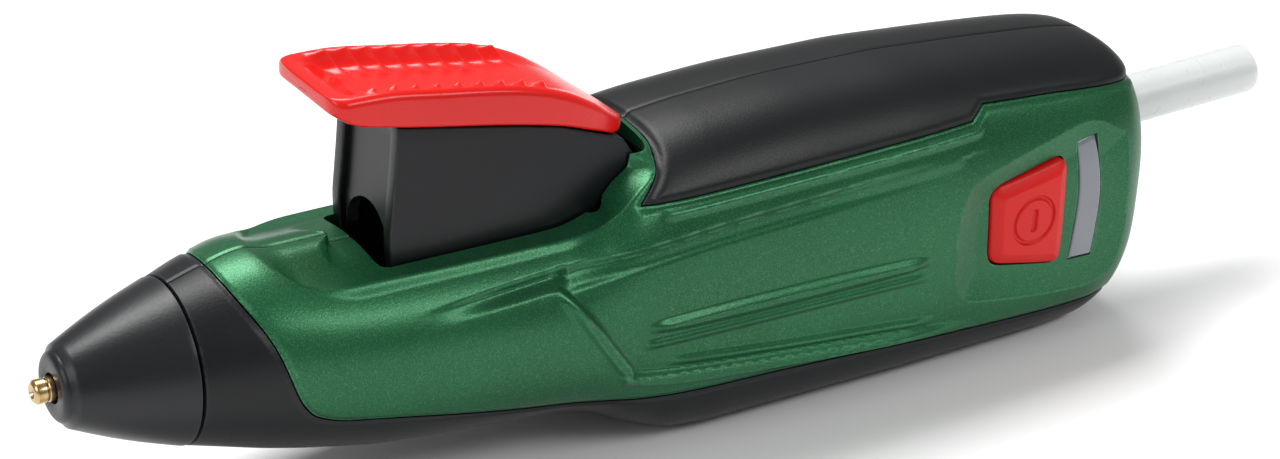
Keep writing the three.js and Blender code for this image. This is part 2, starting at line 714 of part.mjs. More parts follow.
// Melt chamber: a turned aluminium body with a flat above and below for the heater plates.
const CHAMBER_FRONT_X = 8;
const SHANK_R = 2;
const SHANK_END_X = 11;
const chamberShoulder = noseInsideAt(CHAMBER_R + RUN_GAP);
const HEATER_Z = CHAMBER_R - 0.8;
const HEATER_FRONT_X = COLLAR_X - 1.5 - HEATER_LENGTH;
const chamberTurned = turned([
  [CHAMBER_FRONT_X, SHANK_R + FIT_GAP],
  [CHAMBER_FRONT_X, noseInside(CHAMBER_FRONT_X) - RUN_GAP - 1],
  [chamberShoulder, CHAMBER_R],
  [CHAMBER_REAR_X, CHAMBER_R],
  [CHAMBER_REAR_X, CHAMBER_BORE_R],
  [SHANK_END_X + 5, CHAMBER_BORE_R],
  [SHANK_END_X + 1, 0.9],
  [SHANK_END_X + 0.2, 0.9],
  [SHANK_END_X + 0.2, SHANK_R + FIT_GAP],
]);
const heaterFlat = (sign) =>
  box(HEATER_FRONT_X - 0.5, COLLAR_X - 1, -FAR, FAR, ...(sign > 0 ? [HEATER_Z, FAR] : [-FAR, -HEATER_Z]));
addPart(glueGun, "melt_chamber", cut(solid(chamberTurned), heaterFlat(1), heaterFlat(-1)), aluminium);

// Brass nozzle: tip, hexagon and a shank that screws into the chamber.
const HEX_X = NOSE_FACE_X + 2.8;
const HEX_END_X = CHAMBER_FRONT_X - RUN_GAP;
const HEX_R = noseInside(HEX_X) - 0.6;
const nozzleTip = turned(
  [
    [0, 0],
    [0, NOZZLE_R - 0.25],
    [0.25, NOZZLE_R],
    [HEX_X + 1, NOZZLE_R],
    [HEX_X + 1, 0],
  ],
  16,
);
const nozzleHex = turned([[HEX_X, 0], [HEX_X, HEX_R], [HEX_END_X, HEX_R], [HEX_END_X, 0]], 6);
const nozzleShank = turned(
  [[HEX_END_X - 0.2, 0], [HEX_END_X - 0.2, SHANK_R], [SHANK_END_X, SHANK_R], [SHANK_END_X, 0]],
  16,
);
const nozzleBody = join(solid(nozzleTip), solid(nozzleHex), solid(nozzleShank));
const nozzleBore = join(
  barAlong(NOZZLE_BORE_R, -1, 2, 10),
  barAlong(2 * NOZZLE_BORE_R, 1.2, SHANK_END_X + 1, 10),
);
addPart(glueGun, "nozzle", nozzleBody.subtract(nozzleBore), brass);

// Heater plates on the flats, and the spring clip that presses them on.
const HEATER_HALF = HEATER_Z * 0.5;
for (const [side, sign] of [["upper", 1], ["lower", -1]]) {
  const plateShape = new THREE.BoxGeometry(HEATER_LENGTH, 2 * HEATER_HALF, HEATER_THICKNESS);
  const heater = addPart(glueGun, "heater_" + side, plateShape, ceramic);
  heater.position.x = HEATER_FRONT_X + HEATER_LENGTH / 2;
  heater.position.z = sign * (HEATER_Z + FIT_GAP + HEATER_THICKNESS / 2);
}
const CLIP_HALF = CHAMBER_R + 0.4;
const CLIP_TOP = HEATER_Z + 2 * FIT_GAP + HEATER_THICKNESS;
const CLIP_WALL = 0.6;
const clipLength = HEATER_LENGTH - 4;
const clipFront = HEATER_FRONT_X + 2;
const CLIP_CORNER_R = CLIP_TOP + 1;
const clipRear = clipFront + clipLength;
function clipBlock(front, rear, grow) {
  const half = CLIP_HALF + grow;
  const top = CLIP_TOP + grow;
  const corners = barAlong(CLIP_CORNER_R + grow, front, rear);
  return box(front, rear, -half, half, -top, top).intersect(corners);
}
const heaterClip = cut(
  clipBlock(clipFront, clipRear, CLIP_WALL),
  clipBlock(clipFront - 1, clipRear + 1, 0),
  box(clipFront - 1, clipRear + 1, 0, FAR, -3, 3),
);
addPart(glueGun, "heater_clip", heaterClip, steel);

// Collar that holds the chamber in the first rib.
const collarProfile = [
  [COLLAR_X, CHAMBER_R + FIT_GAP],
  [COLLAR_X, COLLAR_R - 1],
  [COLLAR_X + 0.8, COLLAR_R],
  [COLLAR_X + 2.6, COLLAR_R],
  [COLLAR_X + 2.6, CHAMBER_R + FIT_GAP],
];
addPart(glueGun, "chamber_collar", turned(collarProfile), heatPlastic);

// Silicone seal over the rear of the chamber, which the stick passes through.
const sealProfile = [
  [COLLAR_X + 2.9, CHAMBER_R + FIT_GAP],
  [COLLAR_X + 2.9, CHAMBER_R + 1.6],
  [GUIDE_FLANGE_X - FIT_GAP, CHAMBER_R + 1.6],
  [GUIDE_FLANGE_X - FIT_GAP, STICK_R + 0.5],
  [CHAMBER_REAR_X + FIT_GAP, STICK_R + 0.5],
  [CHAMBER_REAR_X + FIT_GAP, CHAMBER_R + FIT_GAP],
];
addPart(glueGun, "inlet_seal", turned(sealProfile), silicone);

// Flanged guide behind the seal: the spring stands on its rear end.
const INLET_GUIDE_END = FEED_BEND_X + 2;
const inletProfile = [
  [GUIDE_FLANGE_X, STICK_R + 0.5],
  [GUIDE_FLANGE_X, COLLAR_R],
  [GUIDE_FLANGE_X + 1.6, COLLAR_R],
  [GUIDE_FLANGE_X + 1.6, CARRIAGE_HALF - 0.2],
  [INLET_GUIDE_END, CARRIAGE_HALF - 0.2],
  [INLET_GUIDE_END, STICK_R + 0.5],
];
addPart(glueGun, "inlet_guide", turned(inletProfile), heatPlastic);

// ---------------------------------------------------------------- feed line

const stickFront = alongFeed(STICK_FRONT_X);
const stickRear = alongFeed(STICK_REAR_X);
const stickProfile = [
  [stickFront, 0],
  [stickFront, STICK_R - 0.8],
  [stickFront + 0.8, STICK_R],
  [stickRear - 0.3, STICK_R],
  [stickRear, STICK_R - 0.3],
  [stickRear, 0],
];
addPart(feedLine, "glue_stick", turned(stickProfile), glue);

// Carriage: a bored block with a slot on top for the pawl and a pin on each side.
const pinAlong = alongFeed(CARRIAGE_PIN_X);
const carriageFront = pinAlong - CARRIAGE_LENGTH / 2;
const carriageRear = pinAlong + CARRIAGE_LENGTH / 2;
const PAWL_TOP = CARRIAGE_HALF + 3;
const PAWL_HALF_WIDTH = 1.4;
const PIN_SINK = 1;
const carriage = cut(
  join(
    barAlong(CARRIAGE_HALF, carriageFront, carriageRear),
    box(carriageFront, carriageRear, -CARRIAGE_HALF + 0.02, CARRIAGE_HALF - 0.02, 0, PAWL_TOP),
  ),
  barAlong(STICK_R + 0.35, carriageFront - 1, carriageRear + 1),
  box(pinAlong - 3, pinAlong + 3, -PAWL_HALF_WIDTH - 0.2, PAWL_HALF_WIDTH + 0.2, 0, PAWL_TOP + 1),
  barAcross(CARRIAGE_PIN_R + FIT_GAP, CARRIAGE_HALF - PIN_SINK, FAR, pinAlong, 0, 14),
  barAcross(CARRIAGE_PIN_R + FIT_GAP, -FAR, -CARRIAGE_HALF + PIN_SINK, pinAlong, 0, 14),
);
addPart(feedLine, "carriage", carriage, black);

for (const [side, sign] of [["left", -1], ["right", 1]]) {
  const inner = CARRIAGE_HALF - PIN_SINK + 0.1;
  const outer = LEVER_OUTER - 0.2;
  const shape = new THREE.CylinderGeometry(CARRIAGE_PIN_R, CARRIAGE_PIN_R, outer - inner, 14);
  const pin = addPart(feedLine, "carriage_pin_" + side, shape, steel);
  pin.position.set(pinAlong, (sign * (inner + outer)) / 2, 0);
}

// Pawl: a toothed plate that leans back in its slot and bites the stick as the carriage advances.
const pawlShape = plate(
  [
    [-0.6, 0.4],
    [0, 0],
    [0.6, 0.4],
    [0.6, 4.4],
    [-0.6, 4.4],
  ],
  -PAWL_HALF_WIDTH,
  PAWL_HALF_WIDTH,
);
const pawl = addPart(feedLine, "feed_pawl", pawlShape, steel);
pawl.position.set(pinAlong - 1, 0, STICK_R + 0.12);
pawl.rotation.y = THREE.MathUtils.degToRad(24);

// Return spring between the inlet guide and the carriage.
const SPRING_WIRE_R = 0.3;
const SPRING_R = STICK_R + 0.5 + SPRING_WIRE_R + 0.1;
const SPRING_COILS = 4;
const springFront = alongFeed(INLET_GUIDE_END) + FIT_GAP + SPRING_WIRE_R;
const springRear = carriageFront - FIT_GAP - SPRING_WIRE_R;
class SpringCurve extends THREE.Curve {
  getPoint(t, target = new THREE.Vector3()) {
    const angle = 2 * Math.PI * SPRING_COILS * t;
    const x = springFront + (springRear - springFront) * t;
    return target.set(x, SPRING_R * Math.cos(angle), SPRING_R * Math.sin(angle));
  }
}
const springShape = new THREE.Shape(ringPoints(SPRING_WIRE_R, 5));
const springGeometry = new THREE.ExtrudeGeometry(springShape, {
  steps: SPRING_COILS * 9,
  extrudePath: new SpringCurve(),
});
addPart(feedLine, "return_spring", springGeometry, steel);

// Guide tube from behind the carriage to the rear, and the bush in the rear wall.
const guideStart = alongFeed(FRONT_RIB_X - 8);
const guideEnd = alongFeed(BODY_END - WALL - 2.4);
const guideTube = turned([
  [guideStart, GUIDE_BORE_R],
  [guideStart, GUIDE_R],
  [guideEnd, GUIDE_R],
  [guideEnd, GUIDE_BORE_R],
]);
addPart(feedLine, "stick_guide", guideTube, black);
const bushFront = alongFeed(BODY_END - WALL - 2);
const bushEnd = alongFeed(BODY_END - 0.4);
const bush = turned([
  [bushFront, GUIDE_BORE_R],
  [bushFront, BUSH_R],
  [bushEnd, BUSH_R],
  [bushEnd, GUIDE_BORE_R + 0.5],
  [bushEnd - 0.6, GUIDE_BORE_R],
]);
addPart(feedLine, "entry_bush", bush, black);

// ---------------------------------------------------------------- lever

// Cam slot: the carriage pin's path seen from the lever, so that the carriage's travel is in
// proportion to the lever's angle.
function slotLine(steps) {
  const line = [];
  for (let i = 0; i <= steps; i++) {
    const angle = (LEVER_STROKE * i) / steps;
    const travel = (FEED_TRAVEL * i) / steps;
    const x = CARRIAGE_PIN_X - travel * Math.cos(FEED_RISE) - LEVER_PIVOT_X;
    const z = feedZ(CARRIAGE_PIN_X) - travel * Math.sin(FEED_RISE) - LEVER_PIVOT_Z;
    line.push([
      x * Math.cos(angle) + z * Math.sin(angle),
      -x * Math.sin(angle) + z * Math.cos(angle),
    ]);
  }
  return line;
}

const SLOT_HALF = CARRIAGE_PIN_R + 0.3;
const slotPath = slotLine(8);
const slotEnds = [slotPath[0], slotPath[slotPath.length - 1]];
const slotCutter = join(
  plate(ribbon(slotPath, 2 * SLOT_HALF), -FAR, FAR),
  ...slotEnds.map(([x, z]) => barAcross(SLOT_HALF, -FAR, FAR, x, z, 16)),
);

// Underside of the cap, and its top, as [x, z] from the nozzle tip.
const CAP_FRONT_X = LEVER_FRONT_X - 7.9;
const CAP_UNDER = [
  [CAP_FRONT_X, GRIP_TOP + 10],
  [CAP_FRONT_X + 3.3, GRIP_TOP + 8.3],
  [CAP_FRONT_X + 8.7, GRIP_TOP + 7.1],
  [LEVER_PIVOT_X - 15.9, GRIP_TOP + 4],
  [LEVER_PIVOT_X - 10, GRIP_TOP + 2.6],
  [LEVER_PIVOT_X - 4.8, GRIP_TOP + 0.7],
  [LEVER_PIVOT_X - 1, GRIP_TOP - 0.8],
];
const CAP_UPPER = [
  [LEVER_PIVOT_X + 1.8, GRIP_TOP - 0.7],
  [LEVER_PIVOT_X - 1, GRIP_TOP + 1.4],
  [LEVER_PIVOT_X - 5.2, GRIP_TOP + 4.4],
  [LEVER_PIVOT_X - 9.3, GRIP_TOP + 6.7],
  [LEVER_PIVOT_X - 13.2, GRIP_TOP + 8.2],
  [LEVER_PIVOT_X - 17.1, GRIP_TOP + 9.2],
  [CAP_FRONT_X + 14.9, GRIP_TOP + 10.7],
  [CAP_FRONT_X + 5.7, GRIP_TOP + 11.8],
  [CAP_FRONT_X, GRIP_TOP + 12],
];
const fromPivot = ([x, z]) => [x - LEVER_PIVOT_X, z - LEVER_PIVOT_Z];

// Side outline of the lever: bowed front, top under the cap, hub, and the lobe round the slot.
const CAP_SEAT = CAP_UNDER.slice(2).map(([x, z]) => fromPivot([x, z - SEAM_GAP]));
const LOWER_FRONT_ANGLE = Math.atan2(11, -Math.sqrt(LEVER_RADIUS ** 2 - 11 ** 2));
const frontArc = [];
for (let i = 0; i <= 4; i++) {
  const angle = LOWER_FRONT_ANGLE * (1 - i / 4) + (Math.PI * i) / 4;
  frontArc.push([LEVER_RADIUS * Math.cos(angle), -LEVER_RADIUS * Math.sin(angle)]);
}
const hubArc = [];
for (let i = 0; i <= 6; i++) {
  const angle = (-Math.PI * 0.55 * i) / 6;
  hubArc.push([LEVER_HUB_R * Math.cos(angle), LEVER_HUB_R * Math.sin(angle)]);
}
const [slotX, slotZ] = slotPath[0];
const LOBE = SLOT_HALF + 2.2;
const leverOutline = [
  ...frontArc,
  [LEVER_FRONT_X + 0.4 - LEVER_PIVOT_X, 6],
  ...CAP_SEAT,
  ...hubArc,
  [slotX + LOBE, slotZ + 2],
  [slotX + LOBE * 0.8, slotZ - LOBE * 0.55],
  [slotX, slotZ - LOBE],
];
const WEB_BOTTOM = 2; // lower edge of the front wall between the plates, above the pivot
const innerOutline = [
  [LEVER_FRONT_X + LEVER_WALL + 0.3 - LEVER_PIVOT_X, -FAR],
  [LEVER_FRONT_X + LEVER_WALL + 0.3 - LEVER_PIVOT_X, CAP_SEAT[0][1] - LEVER_WALL - 0.2],
  ...CAP_SEAT.slice(1).map(([x, z]) => [x, z - LEVER_WALL]),
  [LEVER_HUB_R + 5, -FAR],
];
const leverBody = cut(
  plate(leverOutline, -LEVER_OUTER, LEVER_OUTER),
  plate(innerOutline, -LEVER_INNER, LEVER_INNER),
  box(-LEVER_RADIUS - 2, 0, -LEVER_INNER, LEVER_INNER, -FAR, WEB_BOTTOM),
  slotCutter,
  barAcross(PIVOT_PIN_R + 0.2, -FAR, FAR, 0, 0),
);
addPart(lever, "lever_body", leverBody, black);

// Cap: a thin dished cover, rounded in plan, with finger ridges across its front.
const capHalf = LEVER_OUTER + CAP_OVERHANG;
const capTail = CAP_UPPER[0][0] - LEVER_PIVOT_X;
const capFront = CAP_UPPER[CAP_UPPER.length - 1][0] - LEVER_PIVOT_X;
const capPlan = floorPlate(
  smooth(
    [
      [capTail, 0],
      [capTail - 1.2, capHalf * 0.45],
      [capTail - 6, capHalf * 0.93],
      [(capTail + capFront) / 2, capHalf],
      [capFront + 2.2, capHalf],
      [capFront + 0.4, capHalf * 0.8],
      [capFront, 0],
      [capFront + 0.4, -capHalf * 0.8],
      [capFront + 2.2, -capHalf],
      [(capTail + capFront) / 2, -capHalf],
      [capTail - 6, -capHalf * 0.93],
      [capTail - 1.2, -capHalf * 0.45],
      [capTail, 0],
    ],
    36,
  ).slice(0, -1),
  0,
  FAR,
);
const dishTop = CAP_UPPER.slice(2).map(([x, z]) => fromPivot([x, z - 0.7]));
const dish = plate(
  [...dishTop, [capFront - 2, FAR], [dishTop[0][0], FAR]],
  -capHalf + 1.6,
  capHalf - 1.6,
);
const capBlock = plate([...CAP_UNDER, ...CAP_UPPER].map(fromPivot), -capHalf, capHalf);
const RIDGES = 9;
const ridges = [];
for (let i = 0; i < RIDGES; i++) {
  const [x, z] = fromPivot([CAP_FRONT_X + 3.5 + 2.6 * i, GRIP_TOP + 11.35 - 0.36 * i]);
  ridges.push(barAcross(0.45, -capHalf + 2.4, capHalf - 2.4, x, z, 8));
}
addPart(lever, "lever_cap", join(cut(capBlock.intersect(capPlan), dish), ...ridges), red);

const pivotPin = new THREE.CylinderGeometry(PIVOT_PIN_R, PIVOT_PIN_R, 2 * PIN_HALF - 0.4, 20);
addPart(glueGun, "lever_pivot_pin", pivotPin, steel).position.copy(lever.position);

// ---------------------------------------------------------------- battery

const cellProfile = [
  [0, 0],
  [0, 2.6],
  [1, 2.6],
  [1, BATTERY_R - 0.6],
  [1.6, BATTERY_R],
  [BATTERY_LENGTH, BATTERY_R],
  [BATTERY_LENGTH, 0],
];
const cell = addPart(glueGun, "battery_cell", turned(cellProfile), cellBlue);
cell.position.set(BATTERY_FRONT_X, BATTERY_Y, BATTERY_Z);

const padShape = new THREE.BoxGeometry(BATTERY_LENGTH - 10, 9, BATTERY_PAD);
const pad = addPart(glueGun, "battery_pad", padShape, foam);
const padZ = BATTERY_Z - BATTERY_R - FIT_GAP - BATTERY_PAD / 2;
pad.position.set(BATTERY_FRONT_X + BATTERY_LENGTH / 2, BATTERY_Y, padZ);

const TAB_THICKNESS = 0.5;
const TAB_REACH = BATTERY_R + 0.8;
for (const [name, x] of [
  ["positive", BATTERY_FRONT_X - FIT_GAP - TAB_THICKNESS / 2],
  ["negative", BATTERY_REAR_X + FIT_GAP + TAB_THICKNESS / 2],
]) {
  const shape = new THREE.BoxGeometry(TAB_THICKNESS, TAB_REACH + 3, TAB_HEIGHT);
  const tab = addPart(glueGun, "battery_tab_" + name, shape, steel);
  tab.position.set(x, BATTERY_Y + (3 - TAB_REACH) / 2, BATTERY_Z);
}

// ---------------------------------------------------------------- board, button and lights

const boardFront = BOARD_REAR_X - BOARD_LENGTH;
const board = cut(
  box(boardFront, BOARD_REAR_X, -BOARD_Y, -BOARD_Y + BOARD_THICKNESS, BOARD_BOTTOM, BOARD_TOP),
  ...boardBosses.map(([x, z]) => barAcross(1, -FAR, 0, x, z, 10)),
);
addPart(glueGun, "circuit_board", board, boardGreen);

const SWITCH_Z = -0.7;
const PLUNGER_R = 1.6;
const switchBody = cut(
  box(BUTTON_X - 3, BUTTON_X + 3, -SWITCH_FACE_Y, -BOARD_Y - FIT_GAP, SWITCH_Z - 3, SWITCH_Z + 3),
  barAcross(PLUNGER_R + 0.2, -FAR, -SWITCH_FACE_Y + 1, BUTTON_X, SWITCH_Z, 14),
);
addPart(glueGun, "tact_switch", switchBody, black);
const plungerShape = new THREE.CylinderGeometry(PLUNGER_R, PLUNGER_R, 1.2, 14);
const plunger = addPart(glueGun, "switch_plunger", plungerShape, ceramic);
plunger.position.set(BUTTON_X, -SWITCH_FACE_Y, SWITCH_Z);

// Power button: a cap through the shell, with a flange behind the wall that keeps it in.
const BUTTON_FACE = HALF_WIDTH - 0.5;
const BUTTON_EDGE = 0.6;
const buttonCap = join(
  plate(BUTTON_OUTLINE, -BUTTON_FACE + BUTTON_EDGE, -FLANGE_Y),
  plate(grown(BUTTON_OUTLINE, -BUTTON_EDGE), -BUTTON_FACE, -FLANGE_Y),
  plate(grown(BUTTON_OUTLINE, FLANGE_LIP), -FLANGE_Y - FLANGE_THICKNESS, -FLANGE_Y),
);
addPart(glueGun, "power_button", buttonCap, red);

const windowStrip = walls.intersect(plate(WINDOW_OUTLINE, -FAR, -2));
addPart(glueGun, "light_window", windowStrip, windowGrey);
[5.5, 0, -5.5].forEach((z, i) => {
  const lamp = addPart(glueGun, "led_" + (i + 1), new THREE.BoxGeometry(2, 1.4, 3), lampGlass);
  lamp.position.set(WINDOW_X, -BOARD_Y - FIT_GAP - 0.7, z);
});

// Charging socket: a metal shell open to the rear, with its contact tongue.
const socketRear = BODY_END - 0.8;
const socketFront = socketRear - SOCKET_LENGTH;
const SOCKET_WALL = 0.4;
const socketTop = SOCKET_Z + SOCKET_HIGH;
const socket = join(
  cut(
    box(socketFront, socketRear, SOCKET_Y, SOCKET_Y + SOCKET_DEPTH, SOCKET_Z, socketTop),
    box(
      socketFront + 1,
      socketRear + 1,
      SOCKET_Y + SOCKET_WALL,
      SOCKET_Y + SOCKET_DEPTH - SOCKET_WALL,
      SOCKET_Z + SOCKET_WALL,
      socketTop - SOCKET_WALL,
    ),
  ),
  box(socketFront + 0.5, socketRear - 1.2, SOCKET_Y + 1.1, SOCKET_Y + 1.7, SOCKET_Z + 1.6, socketTop - 1.6),
);
addPart(glueGun, "charging_socket", socket, steel);

// ---------------------------------------------------------------- wires

const wireLane = -COLLAR_R - 1.2;
const solderY = -BOARD_Y - WIRE_R - FIT_GAP;
const heaterRear = HEATER_FRONT_X + HEATER_LENGTH;

function addWire(name, points, finish) {
  addPart(glueGun, name, rod(points, WIRE_R, 6, 16), finish);
}

for (const [side, sign] of [["upper", 1], ["lower", -1]]) {
  const laneZ = WIRE_LANES[side];
  const heaterEdge = -HEATER_HALF - WIRE_R - FIT_GAP;
  const heaterZ = sign * (HEATER_Z + 1.3);
  addWire(
    "heater_wire_" + side,
    [
      [heaterRear - 1.4, heaterEdge, heaterZ],
      [heaterRear - 1, heaterEdge - 2.5, heaterZ * 0.8],
      [COLLAR_X + 0.5, wireLane, laneZ],
      [GUIDE_FLANGE_X + 6, wireLane, laneZ],
      [LEVER_PIVOT_X, wireLane, laneZ],
      [boardFront - 14, wireLane + 0.5, laneZ],
      [boardFront - 3, solderY, laneZ - 0.1],
      [boardFront + 1.2, solderY, laneZ - 0.2],
    ],
    wireRed,
  );
}
const tabEnd = BATTERY_Y - TAB_REACH - WIRE_R - FIT_GAP;
addWire(
  "battery_wire_positive",
  [
    [BATTERY_FRONT_X - 0.4, tabEnd, BATTERY_Z + 1],
    [BATTERY_FRONT_X + 3, tabEnd - 0.6, BATTERY_Z + 3.5],
    [BATTERY_FRONT_X + 14, tabEnd - 0.8, BATTERY_Z + 6.5],
    [boardFront - 8, solderY, -2],
    [boardFront + 1, solderY, -1.2],
  ],
  wireRed,
);
addWire(
  "battery_wire_negative",
  [
    [BATTERY_REAR_X + 0.4, tabEnd, BATTERY_Z],
    [BATTERY_REAR_X + 0.4, tabEnd - 1.2, BATTERY_Z + 0.6],
    [BATTERY_REAR_X + 0.4, solderY - 0.3, BOARD_BOTTOM - 0.8],
    [BATTERY_REAR_X + 0.4, solderY, BOARD_BOTTOM + 2],
  ],
  wireBlack,
);

// ---------------------------------------------------------------- row frame

// The part stands on its flat foot, with the middle of its length over the origin.
const footing = new THREE.Box3().setFromObject(glueGun);
glueGun.position.set(-(footing.min.x + footing.max.x) / 2, 0, -BASE_Z);

export default glueGun;
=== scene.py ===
import math

import bmesh
import bpy
import numpy as np
from mathutils import Matrix, Vector


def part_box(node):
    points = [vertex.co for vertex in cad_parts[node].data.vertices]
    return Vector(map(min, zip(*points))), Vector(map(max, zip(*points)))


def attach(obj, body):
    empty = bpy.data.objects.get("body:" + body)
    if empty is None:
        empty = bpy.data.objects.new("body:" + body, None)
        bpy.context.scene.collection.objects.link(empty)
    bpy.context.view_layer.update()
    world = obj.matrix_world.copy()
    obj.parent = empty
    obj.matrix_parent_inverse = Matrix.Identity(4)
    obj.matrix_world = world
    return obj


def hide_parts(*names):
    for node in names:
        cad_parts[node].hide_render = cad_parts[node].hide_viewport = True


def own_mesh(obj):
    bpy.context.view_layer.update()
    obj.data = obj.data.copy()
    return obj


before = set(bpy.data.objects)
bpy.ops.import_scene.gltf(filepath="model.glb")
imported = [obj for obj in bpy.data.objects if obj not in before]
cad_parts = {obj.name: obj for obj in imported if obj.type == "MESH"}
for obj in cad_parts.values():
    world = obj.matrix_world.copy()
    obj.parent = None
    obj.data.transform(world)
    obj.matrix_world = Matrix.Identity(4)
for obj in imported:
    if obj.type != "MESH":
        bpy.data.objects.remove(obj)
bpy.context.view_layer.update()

# ---------------------------------------------------------------- body shells
# The body is a clamshell of glass-filled nylon. Each half carries a green painted housing, a
# charcoal underbody with the foot, and a soft grip moulded over the upper rear. The housing is
# sculpted: a sunk deck round the lever, a framed side panel and a sloped well for the button.

nozzle_low, nozzle_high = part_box("nozzle")
NOSE = np.array([nozzle_low.x, 0.0, (nozzle_low.z + nozzle_high.z) / 2])
MM = 0.001


def to_row(points):
    """Points in millimetres from the nozzle tip, as metres in the frame of the model."""
    return np.asarray(points, float) * MM + NOSE


def from_row(point):
    return (np.array(point) - NOSE) / MM


pin_low, pin_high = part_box("lever_pivot_pin")
PIVOT = from_row((pin_low + pin_high) / 2)
BODY_END = from_row(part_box("housing_left")[1])[0]
HALF_WIDTH = -from_row(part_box("housing_left")[0])[1]
BASE_Z = from_row(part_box("underbody_left")[0])[2]
SEAM_X = 17.0
SEAM_R = 10.4
DECK_Z = 12.2
GRIP_TOP = 21.0
WALL = 2.0
SEAM_GAP = 0.22
PARTING_GAP = 0.12
FOOT_X = PIVOT[0] + 7.5
POCKET_X = 41.5
POCKET_HALF = 7.9

# Sections of the skin: place, top, bottom, half-width, height of the widest point, and how
# square it is above and below that point.
STATIONS = np.array([
    [SEAM_X, SEAM_R, -SEAM_R, SEAM_R, 0, 2, 2],
    [SEAM_X + 4.5, 11.8, -11.5, 11.9, 0, 2.05, 2.05],
    [SEAM_X + 10, DECK_Z + 0.7, -12.8, HALF_WIDTH - 3.8, 0, 2.1, 2.15],
    [SEAM_X + 16, DECK_Z + 0.2, -13.9, HALF_WIDTH - 2.6, -0.2, 2.2, 2.25],
    [POCKET_X, DECK_Z, -15, HALF_WIDTH - 1.6, -0.5, 2.2, 2.45],
    [PIVOT[0] - 21.5, DECK_Z, -15.6, HALF_WIDTH - 0.8, -1, 2.2, 2.65],
    [PIVOT[0] - 11.5, DECK_Z + 0.3, BASE_Z + 5.3, HALF_WIDTH - 0.4, -1.2, 2.25, 2.8],
    [PIVOT[0] - 6.5, DECK_Z + 2.6, BASE_Z + 4.2, HALF_WIDTH - 0.2, -1.4, 2.4, 3],
    [PIVOT[0] - 1.5, GRIP_TOP - 2.8, BASE_Z + 2, HALF_WIDTH - 0.1, -1.5, 2.6, 3.4],
    [FOOT_X - 2.5, GRIP_TOP - 1.4, BASE_Z - 0.2, HALF_WIDTH, -1.5, 2.7, 3.8],
    [FOOT_X + 4, GRIP_TOP - 0.7, BASE_Z - 0.6, HALF_WIDTH, -1.5, 2.7, 4],
    [FOOT_X + 19, GRIP_TOP, BASE_Z - 0.6, HALF_WIDTH, -1.5, 2.7, 4],
    [BODY_END - 43, GRIP_TOP, BASE_Z - 0.6, HALF_WIDTH, -1.6, 2.7, 4],
    [BODY_END - 31, GRIP_TOP - 0.6, BASE_Z - 0.6, HALF_WIDTH - 0.3, -1.8, 2.7, 4],
    [BODY_END - 18.5, GRIP_TOP - 1.5, BASE_Z - 0.6, HALF_WIDTH - 0.7, -2, 2.7, 4],
    [BODY_END - 10, GRIP_TOP - 2.3, BASE_Z - 0.5, HALF_WIDTH - 1.2, -2, 2.7, 3.8],
    [BODY_END - 5, GRIP_TOP - 3.2, BASE_Z + 0.6, HALF_WIDTH - 2, -2, 2.7, 3.4],
    [BODY_END - 2, GRIP_TOP - 4.8, BASE_Z + 3, HALF_WIDTH - 3.4, -2, 2.7, 3.2],
    [BODY_END, GRIP_TOP - 8, BASE_Z + 6.6, HALF_WIDTH - 6, -2, 2.7, 3],
])


def slopes(table):
    """Slopes of a monotone cubic through the rows of a table, whose first column is the place."""
    chord = (table[1:, 1:] - table[:-1, 1:]) / np.diff(table[:, :1], axis=0)
    before, after = chord[:-1], chord[1:]
    total = np.where(before + after == 0, 1, before + after)
    inner = np.where(before * after <= 0, 0, 2 * before * after / total)
    return np.vstack([chord[:1], inner, chord[-1:]])


def monotone(table, x):
    """Columns of a table at each x, by a monotone cubic."""
    table = np.asarray(table, float)
    slope = slopes(table)
    x = np.clip(x, table[0, 0], table[-1, 0])
    i = np.clip(np.searchsorted(table[:, 0], x, side="left") - 1, 0, len(table) - 2)
    span = (table[i + 1, 0] - table[i, 0])[..., None]
    t = (x - table[i, 0])[..., None] / span
    start, rise = table[i, 1:], table[i + 1, 1:] - table[i, 1:]
    m0, m1 = slope[i] * span, slope[i + 1] * span
    return start + t * m0 + t**2 * (3 * rise - 2 * m0 - m1) + t**3 * (m0 + m1 - 2 * rise)


def skin_grid(places, angles, inset=0.0):
    """Grid of skin points: one ring of directions at each place along the body."""
    top, bottom, half, mid, up, down = monotone(STATIONS, places).T[..., None]
    upper = np.sin(angles)[None] >= 0
    height = np.where(upper, top - mid, mid - bottom) - inset
    power = np.where(upper, up, down)
    across = np.abs(np.cos(angles)) / (half - inset)
    upright = np.abs(np.sin(angles)) / height
    reach = (across**power + upright**power) ** (-1 / power)
    y = reach * np.cos(angles)
    z = mid + reach * np.sin(angles)
    return np.stack([np.broadcast_to(places[:, None], y.shape), y, z], -1)


def smooth_step(low, high, value):
    t = np.clip((value - low) / (high - low), 0, 1)
    return t * t * (3 - 2 * t)


def curve(points, steps):
    """Smooth line through points, by a uniform Catmull-Rom spline."""
    points = np.array(points, float)
    t = np.linspace(0, len(points) - 1, steps + 1)
    i = np.minimum(t.astype(int), len(points) - 2)
    f = (t - i)[:, None]
    a = points[np.maximum(i - 1, 0)]
    b, c = points[i], points[i + 1]
    d = points[np.minimum(i + 2, len(points) - 1)]
    v0, v1 = (c - a) / 2, (d - b) / 2
    return (2 * b - 2 * c + v0 + v1) * f**3 + (3 * c - 3 * b - 2 * v0 - v1) * f**2 + v0 * f + b


